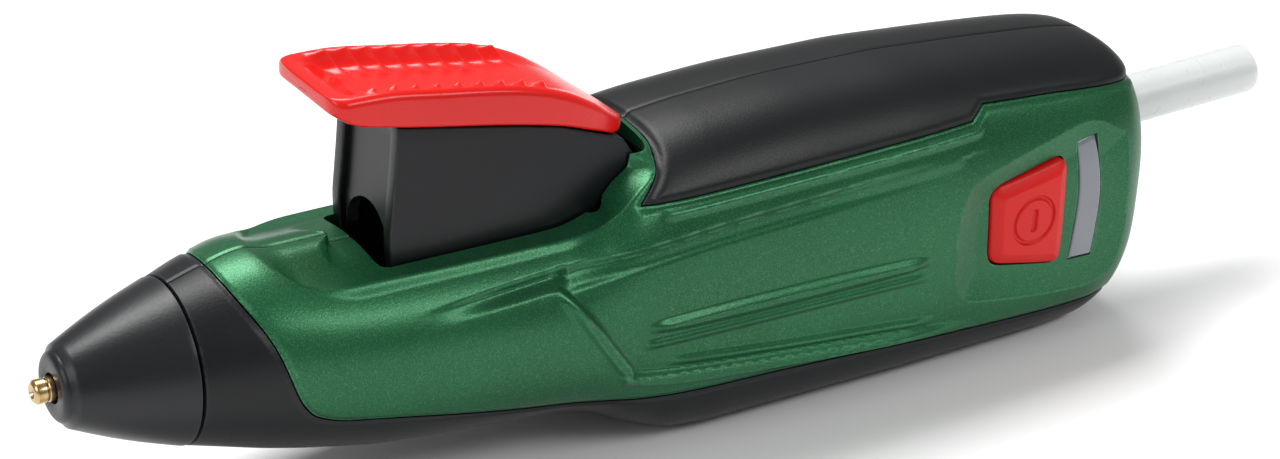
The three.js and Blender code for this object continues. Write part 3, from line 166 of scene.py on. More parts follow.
def line_field(line, u, v):
    """Distance of each place to a line, positive on its left, and the share of it passed."""
    line = np.array(line, float)
    steps = np.diff(line, axis=0)
    lengths = np.hypot(*steps.T)
    starts = np.concatenate([[0], np.cumsum(lengths)])
    best = np.full(np.shape(u), 1e9)
    side = np.ones_like(best)
    along = np.zeros_like(best)
    for (au, av), (du, dv), length, start in zip(line, steps, lengths, starts):
        t = np.clip(((u - au) * du + (v - av) * dv) / length**2, 0, 1)
        distance = np.hypot(au + t * du - u, av + t * dv - v)
        nearer = distance < best
        best = np.where(nearer, distance, best)
        side = np.where(nearer, np.sign(du * (v - av) - dv * (u - au)), side)
        along = np.where(nearer, (start + t * length) / starts[-1], along)
    return best * side, along


def bead(distance, width, height):
    """Rounded bead along a line."""
    return height * (1 - np.clip(np.abs(distance) / width, 0, 1) ** 2) ** 2


def tapered(along, start=0.12, end=0.12):
    return smooth_step(0, start, along) * (1 - smooth_step(1 - end, 1, along))


UNDER_LINE = curve([
    [SEAM_X + 3.5, DECK_Z + 6], [SEAM_X + 5, DECK_Z - 0.3], [SEAM_X + 8.4, 5.6],
    [SEAM_X + 11.6, -2.6], [SEAM_X + 15.5, -5.5], [POCKET_X, -7], [PIVOT[0] - 7.5, -11.9],
    [FOOT_X + 16, BASE_Z + 7.8], [BODY_END - 27, BASE_Z + 5.8], [BODY_END + 5, BASE_Z + 4.2],
], 130)
GRIP_TIP = [PIVOT[0] - 1.7, DECK_Z + 1]
ARCH_LINE = curve([
    GRIP_TIP, [PIVOT[0] + 1.4, GRIP_TOP - 5.2], [PIVOT[0] + 2.7, GRIP_TOP - 3.6],
    [PIVOT[0] + 3.6, GRIP_TOP - 1.6], [PIVOT[0] + 4.6, GRIP_TOP + 5],
], 30)
GRIP_EDGE = np.array([
    GRIP_TIP, [PIVOT[0] + 21, DECK_Z + 1.6], [BODY_END - 32.5, DECK_Z + 2.3],
    [BODY_END - 30, DECK_Z + 3.8], [BODY_END - 17.5, DECK_Z + 2.9], [BODY_END + 5, DECK_Z + 0.8],
])
GRIP_ROUND = np.vstack([ARCH_LINE[::-1], GRIP_EDGE[1:]])

# Side sculpture of the housing, as lines of [x, z].
NOTCH_LINE = [[42.2, 5.5], [52, 6.3], [61.9, 7], [64.4, 7.3]]
TOP_GROOVE = curve([[61.8, 6.6], [65.3, 7.1], [81.6, 8.7], [96.8, 9.5], [122.5, 10.7]], 30)
FRAME_RIB = curve(
    [[61.2, 6.2], [63.6, 3.7], [67.2, -0.9], [71.6, -6.9], [74.6, -9.2], [98.2, -11.9],
     [125.1, -14.3], [131, -14.9]], 60)
FLOOR_BEAD = [[76.6, -7.4], [98.2, -9.9], [121.5, -12.2]]
SPEAR = [[73.9, -2.2], [96, -2.5], [119.5, -2.8]]
WELL = curve([
    [152.6, 8], [146.2, 11], [138, 9.9], [130.9, 8.4], [125.6, 6.9], [123.7, 4.4],
    [122.9, 0], [123.3, -6.4], [124.6, -9.8], [128.4, -11.2], [141.7, -13.2], [150.5, -13.4],
    [153.6, -9], [153.6, 0], [152.6, 8],
], 90)
WELL_DEPTH = 1.25
WELL_SLOPE = 4.2
# Rim of the sunk deck in plan, with its height.
RIM = np.array([
    [28, 0.0, 12.6], [29.6, 5.2, 11.9], [32.4, 8.4, 10.9], [36, 10.0, 10.2], [42, 10.4, 10.1],
    [60, 10.8, 10.1], [68.2, 11.3, 10.8], [71.6, 12.0, 12.3], [74.5, 11.8, 14.5],
    [77.3, 11.0, 16.1], [78.9, 9.6, 17.3], [79.7, 5.8, 18.8], [80.0, 0.0, 19.4],
])
RIM_LINE = curve(RIM, 80)
LAND_Z = 10.1


def deck(points):
    """Sinks the deck inside its rim, which rises behind the lever as an arch."""
    x, y, z = np.moveaxis(points, -1, 0)
    span = np.abs(y)
    upper = z > 3
    inside, along = line_field(RIM_LINE[:, :2], x, span)
    inside = -inside
    passed = np.concatenate([[0], np.cumsum(np.hypot(*np.diff(RIM_LINE[:, :2], axis=0).T))])
    rim_z = np.interp(along, passed / passed[-1], RIM_LINE[:, 2])
    crown = LAND_Z + 2.1 * (1 - smooth_step(1.0, 8.5, span))
    cove = -0.45 * smooth_step(66, 73, x) * smooth_step(0.3, 4.5, inside)
    front = smooth_step(70, 62, x)
    low_deck = np.minimum(crown, rim_z + 0.9 * smooth_step(0, 9, 10 - span))
    wanted = front * low_deck + (1 - front) * (rim_z - cove)
    share = smooth_step(-1.1, 0.15, inside) * upper * smooth_step(26.5, 31.5, x)
    points[..., 2] = z + share * (wanted - z)
    return points


GROOVE_DEPTH = 0.85
FRAME_HALF = 1.25
FRAME_HEIGHT = 0.75
PANEL_DEPTH = 0.6
FLOOR_BEAD_HALF = 0.9
FLOOR_BEAD_HEIGHT = 0.4
SPEAR_HEIGHT = 0.8
SECOND_SPEAR_BELOW = 2.3
SECOND_SPEAR_HALF = 0.85
SECOND_SPEAR_HEIGHT = 0.38
TRIM_BELOW = 1.2
TRIM_HALF = 0.85
TRIM_HEIGHT = 0.5
SKIN_ROOM = 0.12
GRIP_PROUD = 0.22
SEAM_ROUNDING = 0.3
PARTING_ROUNDING = 0.14


def relief(points, near):
    """Height of the sculpture over the skin at each point, in millimetres."""
    x, y, z = np.moveaxis(points, -1, 0)
    side = smooth_step(8.5, 12.5, np.abs(y))
    under = line_field(UNDER_LINE, x, z)[0] < 0
    edge = line_field(GRIP_EDGE, x, z)[0]
    arch = line_field(ARCH_LINE, x, z)[0]
    grip = (edge > 0) & (arch < 0)
    height = np.full(x.shape, -SKIN_ROOM)

    notch, share = line_field(NOTCH_LINE, x, z)
    flank = smooth_step(-1.7, 0.1, notch) * (1 - smooth_step(0.1, 0.8, notch))
    green = -GROOVE_DEPTH * flank * smooth_step(0.02, 0.7, share) * (1 - smooth_step(0.97, 1, share))
    groove, share = line_field(TOP_GROOVE, x, z)
    flank = smooth_step(-2.3, 0.1, groove) * (1 - smooth_step(0.1, 0.9, groove))
    green = green - GROOVE_DEPTH * flank * tapered(share, 0.05, 0.45)
    rib, share = line_field(FRAME_RIB, x, z)
    green = green + bead(rib, FRAME_HALF, FRAME_HEIGHT) * tapered(share, 0.07, 0.3)
    panel = smooth_step(0, 1.6, -groove) * smooth_step(0, 1.2, rib) * smooth_step(130, 112, x)
    panel = panel * (x > 60)
    green = green - PANEL_DEPTH * panel
    floor_line, share = line_field(FLOOR_BEAD, x, z)
    green = green + bead(floor_line, FLOOR_BEAD_HALF, FLOOR_BEAD_HEIGHT) * tapered(share)
    spear, share = line_field(SPEAR, x, z)
    breadth = 0.6 + 1.0 * np.sqrt(np.clip(4 * share * (1 - share), 0, 1))
    green = green + bead(spear, breadth, SPEAR_HEIGHT) * tapered(share, 0.1, 0.1)
    second = bead(spear + SECOND_SPEAR_BELOW, SECOND_SPEAR_HALF, SECOND_SPEAR_HEIGHT)
    green = green + second * tapered(share, 0.05, 0.1)
    trim = tapered((x - 76.5) / 52, 0.04, 0.06)
    green = green + bead(edge + TRIM_BELOW, TRIM_HALF, TRIM_HEIGHT) * trim
    height = height + green * side * ~under * ~grip

    if near:
        well = line_field(WELL, x, z)[0]
        depth = np.clip(well / WELL_SLOPE, 0, 1)
        depth = depth * (1.35 - 0.35 * depth) * smooth_step(0, 0.35, well)
        height = height - (WELL_DEPTH * depth) * ~under * ~grip * (y < 0)

    height = height + GRIP_PROUD * grip * smooth_step(0, 1.2, np.minimum(edge, -arch))
    for seam in (UNDER_LINE, GRIP_ROUND):
        gap = np.abs(line_field(seam, x, z)[0])
        height = height - SEAM_ROUNDING * (1 - smooth_step(0.1, 0.75, gap))
    height = height - PARTING_ROUNDING * (1 - smooth_step(0.05, 0.4, np.abs(y)))
    return height


def grid_solid(grid):
    """Vertices and faces of a closed tube of rings, with a fan at each end."""
    rows, ring, _ = grid.shape
    index = np.arange(rows * ring).reshape(rows, ring)
    a, b = index[:-1], index[1:]
    quads = np.stack([a, np.roll(a, -1, 1), np.roll(b, -1, 1), b], -1).reshape(-1, 4)
    vertices = np.vstack([grid.reshape(-1, 3), grid[0].mean(0), grid[-1].mean(0)])
    first, last = len(vertices) - 2, len(vertices) - 1
    front = [(first, index[0][(j + 1) % ring], index[0][j]) for j in range(ring)]
    back = [(last, index[-1][j], index[-1][(j + 1) % ring]) for j in range(ring)]
    return vertices, [*map(tuple, quads), *front, *back]


def make(name, points, faces):
    """Mesh object from points in millimetres from the nozzle tip, with its faces turned out."""
    mesh = bpy.data.meshes.new(name)
    mesh.from_pydata(to_row(points).tolist(), [], faces)
    shape = bmesh.new()
    shape.from_mesh(mesh)
    bmesh.ops.recalc_face_normals(shape, faces=shape.faces)
    if shape.calc_volume(signed=True) < 0:
        bmesh.ops.reverse_faces(shape, faces=shape.faces)
    shape.to_mesh(mesh)
    shape.free()
    thing = bpy.data.objects.new(name, mesh)
    bpy.context.scene.collection.objects.link(thing)
    return thing


def prism(name, outline, low, high, axis="y"):
    """Outline of [x, z] points drawn out along y, or of [x, y] points drawn out along z."""
    outline = np.asarray(outline, float)
    count = len(outline)
    rings = []
    for level in (low, high):
        fill = np.full(count, float(level))
        columns = (outline[:, 0], fill, outline[:, 1])
        rings.append(np.stack(columns if axis == "y" else (outline[:, 0], outline[:, 1], fill), -1))
    sides = [(i, (i + 1) % count, (i + 1) % count + count, i + count) for i in range(count)]
    ends = [tuple(range(count)), tuple(range(2 * count - 1, count - 1, -1))]
    return make(name, np.vstack(rings), sides + ends)


def tube(name, start, end, radius, sides=32, end_radius=None):
    """Round bar between two points."""
    start, end = np.array(start, float), np.array(end, float)
    along = (end - start) / np.linalg.norm(end - start)
    across = np.cross(along, [0, 0, 1] if abs(along[2]) < 0.9 else [0, 1, 0])
    across = across / np.linalg.norm(across)
    up = np.cross(along, across)
    angles = np.linspace(0, 2 * np.pi, sides, endpoint=False)[:, None]
    ring = np.cos(angles) * across + np.sin(angles) * up
    grid = np.stack([start + radius * ring, end + (end_radius or radius) * ring])
    return make(name, *grid_solid(grid))


def combine(target, operation, *others, keep=False):
    """Joins, cuts or trims target with other solids, which are then removed."""
    for other in others:
        change = target.modifiers.new("combine", "BOOLEAN")
        change.operation = operation
        change.solver = "MANIFOLD"
        change.object = other
        graph = bpy.context.evaluated_depsgraph_get()
        done = bpy.data.meshes.new_from_object(target.evaluated_get(graph))
        target.modifiers.clear()
        old = target.data
        target.data = done
        bpy.data.meshes.remove(old)
        if not keep:
            bpy.data.objects.remove(other)
    return target


def copy_of(thing, name):
    twin = thing.copy()
    twin.data = thing.data.copy()
    twin.name = name
    bpy.context.scene.collection.objects.link(twin)
    return twin


WIDE_FACE = 2.0e-6


def finish_mesh(thing, name, sharp=35.0):
    """Shades smooth up to an angle and stores how exposed each edge is, for wear."""
    thing.name = thing.data.name = name
    mesh = thing.data
    mesh.materials.clear()
    mesh.shade_smooth()
    mesh.set_sharp_from_angle(angle=math.radians(sharp))
    shape = bmesh.new()
    shape.from_mesh(mesh)
    wear = np.zeros(len(mesh.vertices), np.float32)
    for edge in shape.edges:
        if len(edge.link_faces) == 2 and edge.is_convex:
            angle = edge.calc_face_angle(0.0)
            if angle > 0.35:
                for vertex in edge.verts:
                    wear[vertex.index] = max(wear[vertex.index], min(angle, 1.2))
    for face in shape.faces:
        if face.calc_area() > WIDE_FACE:
            for vertex in face.verts:
                wear[vertex.index] = 0.0
    shape.free()
    attribute = mesh.attributes.get("wear") or mesh.attributes.new("wear", "FLOAT", "POINT")
    attribute.data.foreach_set("value", wear)
    return thing


class Value:
    """A shader socket that takes part in arithmetic."""

    def __init__(self, tree, socket):
        self.tree = tree
        self.socket = socket

    def math(self, operation, *terms):
        node = self.tree.nodes.new("ShaderNodeMath")
        node.operation = operation
        for slot, term in zip(node.inputs, terms):
            if isinstance(term, Value):
                self.tree.links.new(term.socket, slot)
            else:
                slot.default_value = term
        return Value(self.tree, node.outputs[0])

    def __add__(self, other):
        return self.math("ADD", self, other)

    def __radd__(self, other):
        return self.math("ADD", other, self)

    def __sub__(self, other):
        return self.math("SUBTRACT", self, other)

    def __rsub__(self, other):
        return self.math("SUBTRACT", other, self)

    def __mul__(self, other):
        return self.math("MULTIPLY", self, other)

    def __rmul__(self, other):
        return self.math("MULTIPLY", other, self)


class Finish:
    """A material built from nodes round one principled shader."""

    def __init__(self, name):
        self.material = bpy.data.materials.new(name)
        self.material.use_nodes = True
        self.tree = self.material.node_tree
        self.shader = self.tree.nodes["Principled BSDF"]

    def fill(self, slot, value):
        if isinstance(value, Value):
            self.tree.links.new(value.socket, slot)
        else:
            slot.default_value = value

    def node(self, kind, output=0, settings=None, **inputs):
        """Any node: settings are its properties, inputs its sockets by name."""
        node = self.tree.nodes.new(kind)
        for key, value in (settings or {}).items():
            setattr(node, key, value)
        for key, value in inputs.items():
            self.fill(node.inputs[key.replace("_", " ")], value)
        return Value(self.tree, node.outputs[output])

    def set(self, **inputs):
        for key, value in inputs.items():
            self.fill(self.shader.inputs[key.replace("_", " ")], value)

    def mix(self, factor, first, second):
        node = self.tree.nodes.new("ShaderNodeMix")
        node.data_type = "RGBA"
        node.clamp_factor = True
        self.fill(node.inputs["Factor"], factor)
        self.fill(node.inputs[6], first)
        self.fill(node.inputs[7], second)
        return Value(self.tree, node.outputs[2])

    def noise(self, scale, detail=4.0, roughness=0.5):
        place = self.node("ShaderNodeTexCoord", output=3)
        return self.node("ShaderNodeTexNoise", Vector=place, Scale=scale, Detail=detail,
                         Roughness=roughness)

    def bump(self, height, strength, distance=0.0002):
        return self.node("ShaderNodeBump", Height=height, Strength=strength, Distance=distance)


def srgb(red, green, blue):
    """Linear colour of an 8-bit colour."""
    parts = np.array([red, green, blue]) / 255
    linear = np.where(parts <= 0.04045, parts / 12.92, ((parts + 0.055) / 1.055) ** 2.4)
    return (*linear.tolist(), 1.0)


def moulded(name, colour, deep, worn, rough, grain, grain_scale, coat=0.0, specks=0.0, metal=0.0,
            shine=0.5):
    """Moulded plastic: mottled colour, spark-eroded grain, handled edges."""
    finish = Finish(name)
    broad = finish.noise(35.0, 3.0)
    fine = finish.noise(grain_scale, 2.0, 0.6)
    specky = finish.noise(grain_scale * 1.9, 1.0, 0.4)
    edge = finish.node("ShaderNodeAttribute", output=2, settings={"attribute_name": "wear"})
    scuff = finish.noise(900.0, 5.0, 0.65)
    base = finish.mix((broad - 0.35) * 1.6, deep, colour)
    base = finish.mix((specky - 0.5) * specks, base, worn)
    base = finish.mix(edge * (scuff - 0.3) * 1.1, base, worn)
    finish.set(
        Base_Color=base,
        Roughness=rough + (broad - 0.5) * 0.16 + (fine - 0.5) * 0.14 + edge * 0.05,
        Metallic=metal,
        Coat_Weight=coat,
        Coat_Roughness=0.25,
        Specular_IOR_Level=shine,
        Normal=finish.bump(fine, grain),
    )
    return finish.material


RINGS = 560
ROW_STEP = 0.32
SIDE_CROWD = 0.45
angles = np.linspace(-np.pi / 2, 3 * np.pi / 2, RINGS, endpoint=False)
angles = angles - SIDE_CROWD / 2 * np.sin(2 * angles)
tail = BODY_END - 6.0
places = np.concatenate([
    np.arange(SEAM_X + 0.3, tail, ROW_STEP),
    BODY_END - 6.0 * np.cos(np.linspace(0, np.pi / 2, 26)),
])
places = np.unique(np.round(places, 4))
outer = skin_grid(places, angles)
outer = deck(outer)
tangent_x = np.gradient(outer, axis=0)
wrapped = np.concatenate([outer[:, -1:], outer, outer[:, :1]], 1)
tangent_ring = (wrapped[:, 2:] - wrapped[:, :-2]) / 2
normal = np.cross(tangent_ring, tangent_x)
normal /= np.linalg.norm(normal, axis=-1, keepdims=True) + 1e-12
outward = np.sign((normal * (outer - outer.mean(1, keepdims=True))).sum(-1, keepdims=True))
normal *= np.where(outward == 0, 1, outward)
outer = outer + normal * relief(outer, near=True)[..., None]
outer[..., 0] = np.clip(outer[..., 0], SEAM_X + 0.3, BODY_END)
outer[..., 1] = np.clip(outer[..., 1], -HALF_WIDTH, HALF_WIDTH)
outer[..., 2] = np.maximum(outer[..., 2], BASE_Z)
skin = make("skin", *grid_solid(outer))

# Inside of the shells: the hollow, less the screw bosses, which stay solid.
FAR = 60.0
inner_places = np.concatenate([np.arange(SEAM_X - 1, BODY_END - WALL, 2.5), [BODY_END - WALL]])
inner = skin_grid(inner_places, angles[::5], WALL)
deck_room = 1.2 * smooth_step(72, 66, inner[..., 0]) * smooth_step(0, 6, inner[..., 2])
inner[..., 2] -= deck_room
hollow = make("hollow", *grid_solid(inner))
screws = [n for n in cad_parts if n.startswith("housing_screw")]
for screw in screws:
    low, high = map(from_row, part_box(screw))
    x, z = (low[0] + high[0]) / 2, (low[2] + high[2]) / 2
    boss = tube("boss", (x, 1, z), (x, FAR, z), (high[0] - low[0]) / 2 + 1.0, 24)
    combine(hollow, "DIFFERENCE", boss)


def ribbon(line, width):
    line = np.asarray(line, float)
    step = np.gradient(line, axis=0)
    across = np.stack([-step[:, 1], step[:, 0]], -1)
    across *= width / 2 / np.linalg.norm(across, axis=1, keepdims=True)
    return np.vstack([line + across, (line - across)[::-1]])


def rounded(corners, radius, steps=8):
    """Corners of an outline rounded by arcs."""
    corners = np.array(corners, float)
    points = []
    for i, here in enumerate(corners):
        before, after = corners[i - 1] - here, corners[(i + 1) % len(corners)] - here
        start = here + before / np.linalg.norm(before) * radius
        end = here + after / np.linalg.norm(after) * radius
        for t in np.linspace(0, 1, steps + 1):
            points.append((1 - t) ** 2 * start + 2 * t * (1 - t) * here + t**2 * end)
    return np.array(points)


def grown(points, margin):
    """Outline moved outwards by a margin."""
    points = np.asarray(points, float)
    before, after = np.roll(points, 1, 0), np.roll(points, -1, 0)
    area = (points[:, 0] * after[:, 1] - after[:, 0] * points[:, 1]).sum()
    a = np.stack([points[:, 1] - before[:, 1], before[:, 0] - points[:, 0]], -1)
    b = np.stack([after[:, 1] - points[:, 1], points[:, 0] - after[:, 0]], -1)
    a /= np.linalg.norm(a, axis=1, keepdims=True) + 1e-12
    b /= np.linalg.norm(b, axis=1, keepdims=True) + 1e-12
    out = (a + b) / (np.linalg.norm(a + b, axis=1, keepdims=True) + 1e-12)
    reach = np.sign(area) * margin / np.maximum((out * a).sum(1, keepdims=True), 0.5)
    return points + out * reach


button_low, button_high = map(from_row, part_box("power_button"))
BUTTON_X = BODY_END - 23.2
BUTTON_OUTLINE = rounded([
    [BUTTON_X - 6.6, 4.9], [BUTTON_X + 6.1, 7.2], [BUTTON_X + 6.8, -8.8], [BUTTON_X - 5.8, -6.2],
], 2.0)
WINDOW_X = BODY_END - 12.5
WINDOW_OUTLINE = np.vstack([
    curve([[WINDOW_X - 2.1, 8.2], [WINDOW_X - 1.3, 0], [WINDOW_X - 1.9, -9.1]], 12),
    curve([[WINDOW_X + 2.3, -9.4], [WINDOW_X + 2.8, 0], [WINDOW_X + 1.2, 8.8]], 12),
])
POCKET_REAR = PIVOT[0] + 2.5
pocket_outline = rounded([
    [POCKET_X, -POCKET_HALF], [POCKET_REAR, -POCKET_HALF],
    [POCKET_REAR, POCKET_HALF], [POCKET_X, POCKET_HALF],
], 1.5)
socket_low, socket_high = map(from_row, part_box("charging_socket"))
bush_low, bush_high = map(from_row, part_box("entry_bush"))
bush_z = (bush_low[2] + bush_high[2]) / 2
bush_r = (bush_high[1] - bush_low[1]) / 2
socket_room = 0.3
cutters = [
    prism("under_seam", ribbon(UNDER_LINE, SEAM_GAP), -FAR, FAR),
    prism("grip_seam", ribbon(GRIP_ROUND, SEAM_GAP), -FAR, FAR),
    prism("pocket", pocket_outline, PIVOT[2] - 8, FAR, axis="z"),
    prism("button_hole", grown(BUTTON_OUTLINE, 0.3), -FAR, -2),
    prism("window_hole", grown(WINDOW_OUTLINE, 0.12), -FAR, -2),
    tube("entry", (bush_low[0] - 1, 0, bush_z - 0.1), (BODY_END + 5, 0, bush_z + 0.2), bush_r + 0.2, 64),
    prism("socket_hole", [
        [socket_low[0] - 1, socket_low[2] - socket_room], [BODY_END + 2, socket_low[2] - socket_room],
        [BODY_END + 2, socket_high[2] + socket_room], [socket_low[0] - 1, socket_high[2] + socket_room],
    ], socket_low[1] - socket_room, socket_high[1] + socket_room),
]
for screw in screws:
    low, high = map(from_row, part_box(screw))
    x, z = (low[0] + high[0]) / 2, (low[2] + high[2]) / 2
    cutters.append(tube("screw_hole", (x, 8.9, z), (x, FAR, z), (high[0] - low[0]) / 2 + 0.25, 32))
voids = combine(hollow, "UNION", *cutters)

under_zone = np.vstack([UNDER_LINE, [[BODY_END + 5, -FAR], [-FAR, -FAR], [-FAR, FAR], [SEAM_X + 3.5, FAR]]])
grip_zone = np.vstack([GRIP_ROUND, [[BODY_END + 5, FAR]]])
over_zone = np.vstack([UNDER_LINE, [[BODY_END + 5, FAR], [SEAM_X + 3.5, FAR]]])

shells = {}
for side, (low, high) in {"left": (-FAR, -PARTING_GAP / 2), "right": (PARTING_GAP / 2, FAR)}.items():
    whole = copy_of(skin, "whole_" + side)
    slab = [[-FAR, -FAR], [BODY_END + FAR, -FAR], [BODY_END + FAR, FAR], [-FAR, FAR]]
    half = prism("half", slab, low, high)
    combine(whole, "INTERSECT", half)
    combine(whole, "DIFFERENCE", voids, keep=True)
    under = prism("under", under_zone, -FAR, FAR)
    over = prism("over", over_zone, -FAR, FAR)
    grip = prism("grip", grip_zone, -FAR, FAR)
    shells["underbody_" + side] = combine(copy_of(whole, "u"), "INTERSECT", under)
    shells["grip_" + side] = combine(copy_of(whole, "g"), "INTERSECT", copy_of(grip, "g2"))
    shells["housing_" + side] = combine(combine(whole, "INTERSECT", over), "DIFFERENCE", grip)
bpy.data.objects.remove(skin)
bpy.data.objects.remove(voids)

green_paint = moulded("green_paint", srgb(30, 106, 64), srgb(18, 84, 48), srgb(110, 178, 138),
                      0.34, 0.14, 3600.0, coat=0.12, specks=1.0, metal=0.5, shine=0.35)
for side in ("left", "right"):
    housing = finish_mesh(shells["housing_" + side], "green_housing_" + side)
    housing.data.materials.append(green_paint)
    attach(housing, "body")
    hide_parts("housing_" + side)

# ---------------------------------------------------------------- underbody
# Charcoal glass-filled nylon, moulded with a fine spark texture. It runs from the nose ring
# under the body to the flat foot, and its edge is rounded where it meets the green.

charcoal = moulded("charcoal_nylon", srgb(19, 21, 24), srgb(13, 15, 17), srgb(60, 64, 70),
                   0.38, 0.1, 3400.0, shine=0.3)
for side in ("left", "right"):
    underbody = finish_mesh(shells["underbody_" + side], "charcoal_underbody_" + side)
    underbody.data.materials.append(charcoal)
    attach(underbody, "body")
    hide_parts("underbody_" + side)

# ---------------------------------------------------------------- soft grip
# Thermoplastic elastomer moulded over the upper rear of each half, slightly proud of the
# paint, matt and dust-catching.

soft = moulded("soft_grip", srgb(19, 21, 24), srgb(13, 15, 17), srgb(54, 58, 64),
               0.42, 0.1, 3600.0, shine=0.3)
for side in ("left", "right"):
    grip = finish_mesh(shells["grip_" + side], "soft_grip_" + side)
    grip.data.materials.append(soft)
    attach(grip, "body")
    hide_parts("grip_" + side)

# ---------------------------------------------------------------- nose cone
# Heat-resistant black plastic turned to a cone, screwed over the heated chamber. Its front
# face is rounded round the nozzle, and a lip at the rear sits inside the body's nose ring.


def lathe(name, profile, sides=144, origin=(0.0, 0.0, 0.0), rise=0.0):
    """Turned solid about the X axis from a closed loop of [x, radius], or from axis to axis."""
    profile = np.array(profile, float)
    turn = np.linspace(0, 2 * np.pi, sides, endpoint=False)
    grid = np.stack([
        np.broadcast_to(profile[:, :1], (len(profile), sides)),
        profile[:, 1:] * np.cos(turn),
        profile[:, 1:] * np.sin(turn),
    ], -1)
    tilt = np.array([
        [math.cos(rise), 0, -math.sin(rise)], [0, 1, 0], [math.sin(rise), 0, math.cos(rise)],
    ])
    grid = grid @ tilt.T + np.array(origin)
    if profile[0, 1] > 0.05:
        index = np.arange(len(profile) * sides).reshape(len(profile), sides)
        after = np.roll(index, -1, 0)
        quads = np.stack([index, np.roll(index, -1, 1), np.roll(after, -1, 1), after], -1)
        return make(name, grid.reshape(-1, 3), [*map(tuple, quads.reshape(-1, 4))])
    return make(name, *grid_solid(grid))


def arc(centre, radius, start, end, steps=8):
    """Points of a quarter or other arc, in degrees, in the plane of a profile."""
    turn = np.radians(np.linspace(start, end, steps + 1))
    return [[centre[0] + radius * math.cos(t), centre[1] + radius * math.sin(t)] for t in turn]


NOSE_X = 2.4
NOSE_R = 4.2
cone = [[x, NOSE_R + 0.35 + (x - NOSE_X) * (SEAM_R - NOSE_R - 0.35) / (SEAM_X - NOSE_X)
         + 0.35 * math.sin(math.pi * (x - NOSE_X) / (SEAM_X - NOSE_X))]
        for x in np.linspace(NOSE_X + 1.3, SEAM_X - 0.35, 30)]
nose_profile = (
    [[NOSE_X + 0.1, 1.9], [NOSE_X, 2.1], [NOSE_X, 3.0]]
    + arc((NOSE_X + 1.2, 3.35), 1.2, 180, 108, 10)
    + cone
    + [[SEAM_X - 0.1, SEAM_R - 0.12], [SEAM_X, SEAM_R - 0.35], [SEAM_X, 8.2], [SEAM_X + 1.6, 8.1],
       [SEAM_X + 1.6, 7.3], [NOSE_X + 8, 5.6], [NOSE_X + 2, 3.2], [NOSE_X + 1.6, 1.9]]
)
nose = finish_mesh(lathe("nose", nose_profile), "nose_cone_shell", 40)
nose_finish = moulded("nose_plastic", srgb(25, 27, 31), srgb(18, 20, 23), srgb(70, 74, 80),
                      0.36, 0.08, 2600.0, shine=0.4)
nose.data.materials.append(nose_finish)
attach(nose, "body")
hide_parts("nose_cone")

# ---------------------------------------------------------------- nozzle
# Turned brass with a chamfered tip and a fine bore, screwed into the chamber behind the cone.


def metal(name, colour, deep, rough, streak):
    """Machined or drawn metal with fine turning marks and a handled tarnish."""
    finish = Finish(name)
    broad = finish.noise(60.0, 4.0)
    place = finish.node("ShaderNodeTexCoord", output=3)
    stretched = finish.node("ShaderNodeMapping", Vector=place, Scale=(streak, 60.0, 60.0))
    marks = finish.node("ShaderNodeTexNoise", Vector=stretched, Scale=1.0, Detail=3.0)
    edge = finish.node("ShaderNodeAttribute", output=2, settings={"attribute_name": "wear"})
    base = finish.mix((broad - 0.4) * 1.7, colour, deep)
    finish.set(
        Base_Color=finish.mix(edge * 0.3, base, (1, 1, 1, 1)),
        Roughness=rough + (marks - 0.5) * 0.2 + (broad - 0.5) * 0.12,
        Metallic=1.0,
        Normal=finish.bump(marks, 0.12, 0.00005),
    )
    return finish.material


brass = metal("brass", srgb(206, 170, 96), srgb(150, 112, 52), 0.24, 5200.0)
HEX_X = NOSE_X + 2.8
nozzle_profile = [
    [9, 0.001], [9, 0.9], [1.4, 0.9], [1.2, 0.45], [0.35, 0.45], [0.02, 0.75], [0.0, 0.95],
    [0.05, 1.12], [0.38, 1.46], [0.5, 1.5], [1.5, 1.5], [1.62, 1.38], [1.8, 1.38], [1.92, 1.5],
    [HEX_X, 1.5], [HEX_X, 2.6], [7.4, 2.6], [7.4, 2.0], [11, 2.0], [11, 0.001],
]
nozzle = finish_mesh(lathe("nozzle_tip", nozzle_profile, 96), "brass_nozzle", 30)
nozzle.data.materials.append(brass)
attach(nozzle, "body")
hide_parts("nozzle")

# ---------------------------------------------------------------- lever cap
# Red gloss-moulded cover that the thumb presses. Its top is dished inside a rounded rim, with
# nine slanted crescent ribs on each flank of the dish, and it is clipped over the lever.

CAP_FRONT = PIVOT[0] - 41.5
CAP_TAIL = PIVOT[0] + 1.8
CAP_HALF = 8.2
CAP_UNDER = np.array([
    [CAP_FRONT, 31.0], [CAP_FRONT + 3.3, 29.3], [CAP_FRONT + 8.7, 28.1], [PIVOT[0] - 15.9, 25.0],
    [PIVOT[0] - 10, 23.6], [PIVOT[0] - 4.8, 21.7], [PIVOT[0] - 1, 20.25], [CAP_TAIL, 20.2],
])
CAP_UPPER = np.array([
    [CAP_FRONT, 32.9], [CAP_FRONT + 5.7, 32.85], [CAP_FRONT + 14.9, 31.7], [PIVOT[0] - 17.1, 30.2],
    [PIVOT[0] - 13.2, 29.2], [PIVOT[0] - 9.3, 27.7], [PIVOT[0] - 5.2, 25.4], [PIVOT[0] - 1, 22.4],
    [CAP_TAIL, 20.5],
])
CAP_PLAN = np.array([
    [CAP_FRONT, 0.6], [CAP_FRONT + 0.03, 4.2], [CAP_FRONT + 0.15, 6.1], [CAP_FRONT + 0.5, 7.1],
    [CAP_FRONT + 1.2, 7.8], [CAP_FRONT + 2.2, 8.1], [CAP_FRONT + 9, CAP_HALF],
    [PIVOT[0] - 14, CAP_HALF], [PIVOT[0] - 8, 8.0], [PIVOT[0] - 4.2, 7.4], [PIVOT[0] - 1, 6.0],
    [PIVOT[0] + 0.7, 3.9], [CAP_TAIL - 0.3, 2.0], [CAP_TAIL, 0.3],
])
RIB_COUNT = 9
RIB_PITCH = 2.9
